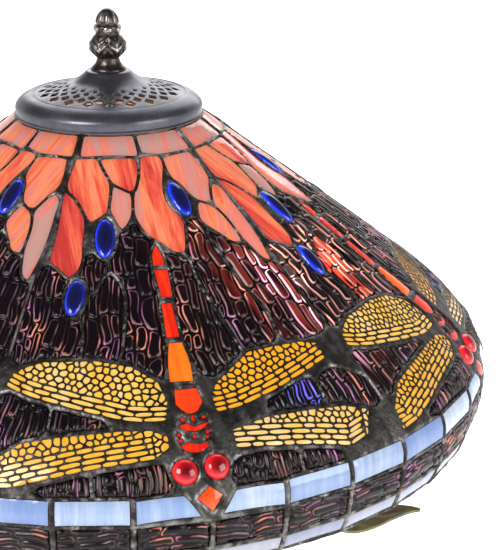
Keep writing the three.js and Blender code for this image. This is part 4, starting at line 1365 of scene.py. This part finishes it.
def add_light(k):
    n, turn = k + 1, light_turn(k)
    cap = [(0, SOCKET_CAP), (8.6, SOCKET_CAP), (9.4, 35.4), (9.6, 38), (13, 39.6), (16.4, 42),
           (17.4, 45.4), (17.2, 47.6), (18.1, 48.4), (18.1, 49.4), (16.4, 49.6), (16.2, 46), (14, 41.6),
           (8, 38.4), (0, 38.2)]
    turned_piece(f"socket_cap_spun_{n}", "brass", f"socket_cap_{n}", fine(cap, 0.7, 50), 96, turn=turn)

    def knurl(angle, radius, height):
        return 0.35 * np.cos(40 * angle) * hump(height - 87, 2.4) * (radius > 17)

    sleeve = [(SOCKET_R, SOCKET_SHELL), (SOCKET_R, 66), (18.1, 67), (18.1, 68.6), (SOCKET_R, 69.6),
              (SOCKET_R, 83), (18.3, 84.2), (18.3, 90), (17.6, SOCKET_MOUTH), (16.5, SOCKET_MOUTH),
              (16.3, SOCKET_SHELL)]
    turned_piece(f"socket_shell_spun_{n}", "brass", f"socket_shell_{n}", fine(sleeve, 0.8, 50), 160,
                 knurl, 0.35, turn)
    core = [(0, 51), (15.2, 51), (15.8, 52), (15.8, 89), (15.2, 90), (13.8, 90), (13.8, 69), (0, 69)]
    turned_piece(f"socket_core_moulded_{n}", "phenolic", f"socket_core_{n}", fine(core, 1.2), 72,
                 turn=turn)
    screw = [(0, 70), (3.6, 70), (5, 70.8), (9.4, 72.4), (12.6, 74.2), (12.8, 91), (12.9, 93), (0, 93)]
    turned_piece(f"bulb_screw_{n}", "bulb_cap", f"bulb_base_{n}", fine(screw, 0.6, 50), 72,
                 thread(3.6, 1.0), 1, turn)
    start = SOCKET_MOUTH + 1.3
    bulb = [(0, start), (12.6, start), (13.2, start + 5), (14.6, start + 12), (17.2, start + 19),
            (21.2, start + 26.5), (25, start + 34), (28.4, start + 42), (30, start + 51),
            (29.6, start + 58.5), (27.2, start + 67), (22.6, start + 75), (16, start + 80.6),
            (8, start + 83.7), (0, start + 84.4)]
    turned_piece(f"bulb_{n}", "bulb_glass", f"bulb_glass_{n}", fine(bulb, 2.0, 50), 96, turn=turn)

    stand = turn @ Matrix.Translation((0, KEY_START, KEY_AT)) @ Matrix.Rotation(math.pi / 2, 4, "X")
    stem = [(0, 0), (2.1, 0), (2.2, 0.5), (2.2, 12), (3.4, 12.6), (3.5, 14), (3.2, 15.4), (0, 15.5)]
    shell = Shell()
    shell.add(*lathe(fine(stem, 0.5, 50), 40, None, stand)[:2])
    corners = [(-6.4, 15.2), (-2.2, 15.0), (2.2, 15.0), (6.4, 15.2), (6.5, 19), (4.6, 22.6), (0, 23),
               (-4.6, 22.6), (-6.5, 19)]
    outline = smooth_outline(corners, 0.6, corner=120)
    points, triangles = triangulate(outline, [], scattered(outline, 0.6, 0.3))
    edge = np.clip(distance_to(points, [outline]) / 1.2, 0, 1)
    half = 0.5 + 0.75 * np.sqrt(1 - (1 - edge) ** 2) + 0.3 * np.cos(points[:, 0] * 2.6) * edge
    axes, middle = np.array(stand)[:3, :3], np.array(stand)[:3, 3]
    faces = ((np.column_stack([side, points]) @ axes.T + middle) * MM for side in (half, -half))
    shell.add_slab(*faces, triangles)
    name, look = f"key_{n}", "phenolic"
    shell.build(f"{name}_moulded", LOOKS[look], name, [f"socket_{name}"], smooth=50)
    data = bpy.data.lights.new(f"lit_bulb_{n}", "POINT")
    data.energy, data.shadow_soft_size, data.color = 0.6, 0.03, (1.0, 0.8, 0.55)
    placed(data.name, data).location = (turn @ Vector((0, -50, start + 40))) * MM  # below the bulb


# ---- Foot, stem, hub and neck ----
FOOT_R, STEM_LOW, HUB_HIGH = 110.0, 62.0, HUB_LOW + 26


def foot_relief(angle, radius, height):
    petal = repeated(angle, 10)
    out = np.clip((radius - 24) / 70, 0, 1)
    edge = 0.5 - 0.18 * out**3  # the leaves narrow to rounded ends
    cut = np.minimum(np.abs(np.abs(petal) - edge), np.abs(out - 0.97) * 2) * radius * 0.6
    leaves = 1.2 * np.clip(1 - hump(cut, 1.6), 0, 1) * (np.abs(petal) < edge) * (out < 0.97)
    rib = 0.9 * hump(petal * radius * 0.6, 1.3) * (1 - out)
    veins = 0.3 * np.cos(radius * 0.75 - np.abs(petal) * radius * 0.9) * np.sin(math.pi * out)
    beads = 0.9 * np.clip(np.cos(60 * angle), 0, 1) ** 0.5 * hump(radius - 102, 2.4) * (height > 10)
    return (leaves + rib + veins) * (height > 12) * hump(np.maximum(height - 52, 0), 8) + beads


def stem_relief(angle, radius, height):
    twist = angle + (height - STEM_LOW) * 0.012
    shaft = np.clip((height - 80) / 12, 0, 1) * np.clip((HUB_LOW - 24 - height) / 12, 0, 1)
    stalks = 0.9 * np.abs(np.cos(3.5 * twist)) + 0.25 * np.cos(height * 0.35 + 3 * np.sin(7 * twist))
    rings = 0.5 * np.cos(20 * angle) * (hump(height - 68, 3) + hump(height - HUB_LOW + 10, 4))
    return (stalks - 0.5) * shaft + rings


def hub_relief(angle, radius, height):
    sepal = repeated(angle - math.radians(FIRST_LEAF), LEAVES, 0.5)
    sepals = hump(sepal, 0.22) * hump(height - HUB_LOW - 12, 8)
    return sepals + 0.25 * np.cos(25 * angle) * hump(height - HUB_HIGH, 4)


def neck_relief(angle, radius, height):
    return 0.45 * np.abs(np.cos(5 * angle)) * np.clip((height - HUB_HIGH - 6) / 10, 0, 1) - 0.2


def add_base():
    felt = [(14, 0), (60, 0), (FOOT_R - 3.4, 0), (FOOT_R - 3, 1.2), (FOOT_R - 3.4, 2.5), (14, 2.5)]
    turned_piece("felt_disc", "felt", "felt_pad", fine(felt, 2.5), 180)
    foot = [(FOOT_R, 2.9), (FOOT_R, 7), (109, 9.6), (106, 11.6), (102, 12.6), (97.6, 13.6), (95.4, 15.8),
            (88, 18), (76, 21.2), (62, 26.6), (50, 33.4), (40, 41), (32, 48), (26, 55), (22, 59),
            (19, 61.6), (PIPE_HOLE, 61.6), (PIPE_HOLE, 48), (20, 48), (34, 36), (58, 21), (92, 10),
            (104, 6), (104, 2.9)]
    turned_piece("foot_casting", "cast_bronze", "foot", fine(foot, 1.3, 50), 300, foot_relief, 1.6)
    stem = [(18.6, 62), (20.6, 64.5), (21, 68), (19.6, 72), (17.2, 76), (16.4, 84), (15.2, 122),
            (13.8, 190), (13, 248), (13.2, 276), (14.2, 290), (16, 298), (17, 304), (16.6, 307.6),
            (PIPE_HOLE, 307.6), (PIPE_HOLE, 62)]
    turned_piece("stem_casting", "cast_bronze", "stem", fine(stem, 1.6, 50), 168, stem_relief, 0.8)
    hub = [(16.6, 0.2), (18.2, 3), (18.4, 8), (18.4, 16), (17.6, 20.4), (15.4, 24), (14.8, 25.8),
           (PIPE_HOLE, 25.8), (PIPE_HOLE, 0.2)]
    profile = fine([(r, HUB_LOW + z) for r, z in hub], 1.0, 50)
    turned_piece("hub_casting", "cast_bronze", "leaf_hub", profile, 150, hub_relief, 0.9)
    neck = [(13.6, HUB_HIGH + 0.3), (12.2, HUB_HIGH + 3), (10, HUB_HIGH + 8), (8.8, HUB_HIGH + 18),
            (8.4, HUB_HIGH + 30), (9.2, CLUSTER_LOW - 14), (11.6, CLUSTER_LOW - 8),
            (14, CLUSTER_LOW - 4.4), (14.8, CLUSTER_LOW - 0.4), (PIPE_HOLE, CLUSTER_LOW - 0.4),
            (PIPE_HOLE, HUB_HIGH + 0.3)]
    turned_piece("neck_casting", "cast_bronze", "neck", fine(neck, 1.2, 50), 120, neck_relief, 0.4)


# ---- Leaves ----
# Distance from the axis, and height above the hub's foot
LEAF_RIB = [(19.4, 14), (60, 30), (115, 20), (172, 6), (217, 17)]
LEAF_LENGTH_STEPS, LEAF_WIDTH_STEPS = 150, 48


def add_leaf(k):
    rib = smooth_outline(LEAF_RIB, 2, closed=False, corner=90)
    run = np.concatenate([[0], np.cumsum(np.hypot(*np.diff(rib, axis=0).T))])
    along, across = np.linspace(0, 1, LEAF_LENGTH_STEPS), np.linspace(-1, 1, LEAF_WIDTH_STEPS)
    t, x = np.meshgrid(along, across, indexing="ij")
    out, rise = (np.interp(t * run[-1], run, rib[:, axis]) for axis in (0, 1))
    width = 5 + 35 * np.sin(math.pi * t**1.25) * (1 - 0.25 * t) - 4.2 * t
    lobes = np.abs(np.sin(math.pi * (4.4 * t + 0.1 * k)))
    width = width * (1 - 0.24 * (1 - lobes) ** 2 * np.sin(math.pi * t))
    side = np.abs(x)
    cup = 0.28 * side * width * np.sin(math.pi * np.minimum(1, t * 1.15))
    curl = 2.6 * side**4 * np.sin(2 * math.pi * (3.4 * t + 0.21 * k) + (x > 0) * 1.3) * np.sin(math.pi * t)
    vein = repeated((t - 0.11 * side) * 2 * math.pi, 9)
    fade = np.clip(side * 6, 0, 1) * (1 - side**6) * np.abs(np.sin(math.pi * t)) ** 0.5
    ridge = 0.7 * hump(vein, 0.09) * fade
    bead = 0.5 * hump(1 - side, 0.07)
    droop = 2.0 * side**2 * hump(t - 0.72, 0.14)  # the margins of the outer part hang
    rumple = 0.5 * soft_noise(out / 14 + 50 * k, x * width / 9, 41)
    height = HUB_LOW + rise + cup + curl - droop + rumple * np.sin(math.pi * t) - 1.1 * hump(x * width, 2.6)
    half = 0.95 - 0.3 * side
    upper = height + half + ridge + bead
    lower = height - half - 0.4 * ridge + 0.3 * bead - 1.5 * hump(x * width, 2.2) * (1 - t)
    index = np.arange(t.size).reshape(t.shape)
    a, b, c, d = index[:-1, :-1], index[1:, :-1], index[1:, 1:], index[:-1, 1:]
    triangles = np.vstack([np.stack([a, b, c], -1).reshape(-1, 3), np.stack([a, c, d], -1).reshape(-1, 3)])
    across, forward = (x * width).ravel(), out.ravel()
    azimuth = math.radians(FIRST_LEAF + k * 360 / LEAVES)
    x, y = (across * math.cos(azimuth) + forward * math.sin(azimuth),
            across * math.sin(azimuth) - forward * math.cos(azimuth))
    places = (np.stack([x, y, z.ravel()], -1) * MM for z in (upper, lower))
    worn = np.clip(0.35 * ridge + 0.4 * hump(1 - side, 0.03), 0, 1).ravel()
    shell = Shell()
    shell.add_slab(*places, triangles, worn=np.concatenate([worn, 0.3 * worn]))
    look = "leaf_bronze"
    shell.build(f"leaf_casting_{k + 1}", LOOKS[look], LAMP_BODY, [f"leaf_{k + 1}"], smooth=50)


# ---- What stays as the CAD made it ----
KEPT = {
    "foot_weight": "iron", "bottom_washer": "steel", "bottom_nut": "steel", "cord_bushing": "phenolic",
    "seat_nut": "brass",
}


def dress_kept_nodes():
    for name, look in KEPT.items():
        slots = NODES[name].data.materials
        slots.clear()
        slots.append(LOOKS[look])


# ---- Studio, in metres ----
AREA_LIGHTS = [  # each with its place, its size and its power
    ("key", (-1.5, -1.7, 2.1), 1.3, 80),
    ("side", (2.3, -1.6, 1.5), 1.8, 60),
    ("back", (0.3, 2.2, 2.0), 2.4, 50),
]
SKY_STOPS = [(0.2, 1.0), (0.45, 0.16)]  # white low down, darker above
FLOOR_REACH = 30.0


def add_studio():
    world = bpy.data.worlds.new("studio")
    world.use_nodes = True
    nodes, links = world.node_tree.nodes, world.node_tree.links
    split, ramp = nodes.new("ShaderNodeSeparateXYZ"), nodes.new("ShaderNodeValToRGB")
    for element, (height, bright) in zip(ramp.color_ramp.elements, SKY_STOPS):
        element.position, element.color = height, (bright, bright, bright, 1)
    links.new(nodes.new("ShaderNodeTexCoord").outputs["Generated"], split.inputs[0])
    links.new(split.outputs["Z"], ramp.inputs[0])
    links.new(ramp.outputs[0], nodes["Background"].inputs["Color"])
    bpy.context.scene.world = world
    for name, place, size, power in AREA_LIGHTS:
        data = bpy.data.lights.new(name, "AREA")
        data.energy, data.size = power, size
        aim = (Vector((0, 0, 0.45)) - Vector(place)).to_track_quat("-Z", "Y").to_matrix().to_4x4()
        placed(name, data).matrix_world = Matrix.Translation(place) @ aim
    look = Look("floor", {"Roughness": 0.8, "Emission Color": (1, 1, 1, 1), "Emission Strength": 0.85})
    stops = [(0.3, (0.90, 0.90, 0.90)), (0.7, (0.93, 0.93, 0.93))]
    look["Base Color"] = look.ramp(look.noise(400), stops)
    mesh = bpy.data.meshes.new("floor")
    corners = [(x * FLOOR_REACH, y * FLOOR_REACH, 0) for x, y in ((-1, -1), (1, -1), (1, 1), (-1, 1))]
    mesh.from_pydata(corners, [], [(0, 1, 2, 3)])
    mesh.materials.append(look.material)
    floor = placed("floor", mesh)


bpy.context.scene.view_settings.view_transform = "Standard"
add_camera()
add_shade()
add_cap()
add_finial()
add_supports()
add_seat()
add_cluster()
for k in range(LIGHTS):
    add_light(k)
add_base()
for k in range(LEAVES):
    add_leaf(k)
dress_kept_nodes()
add_studio()
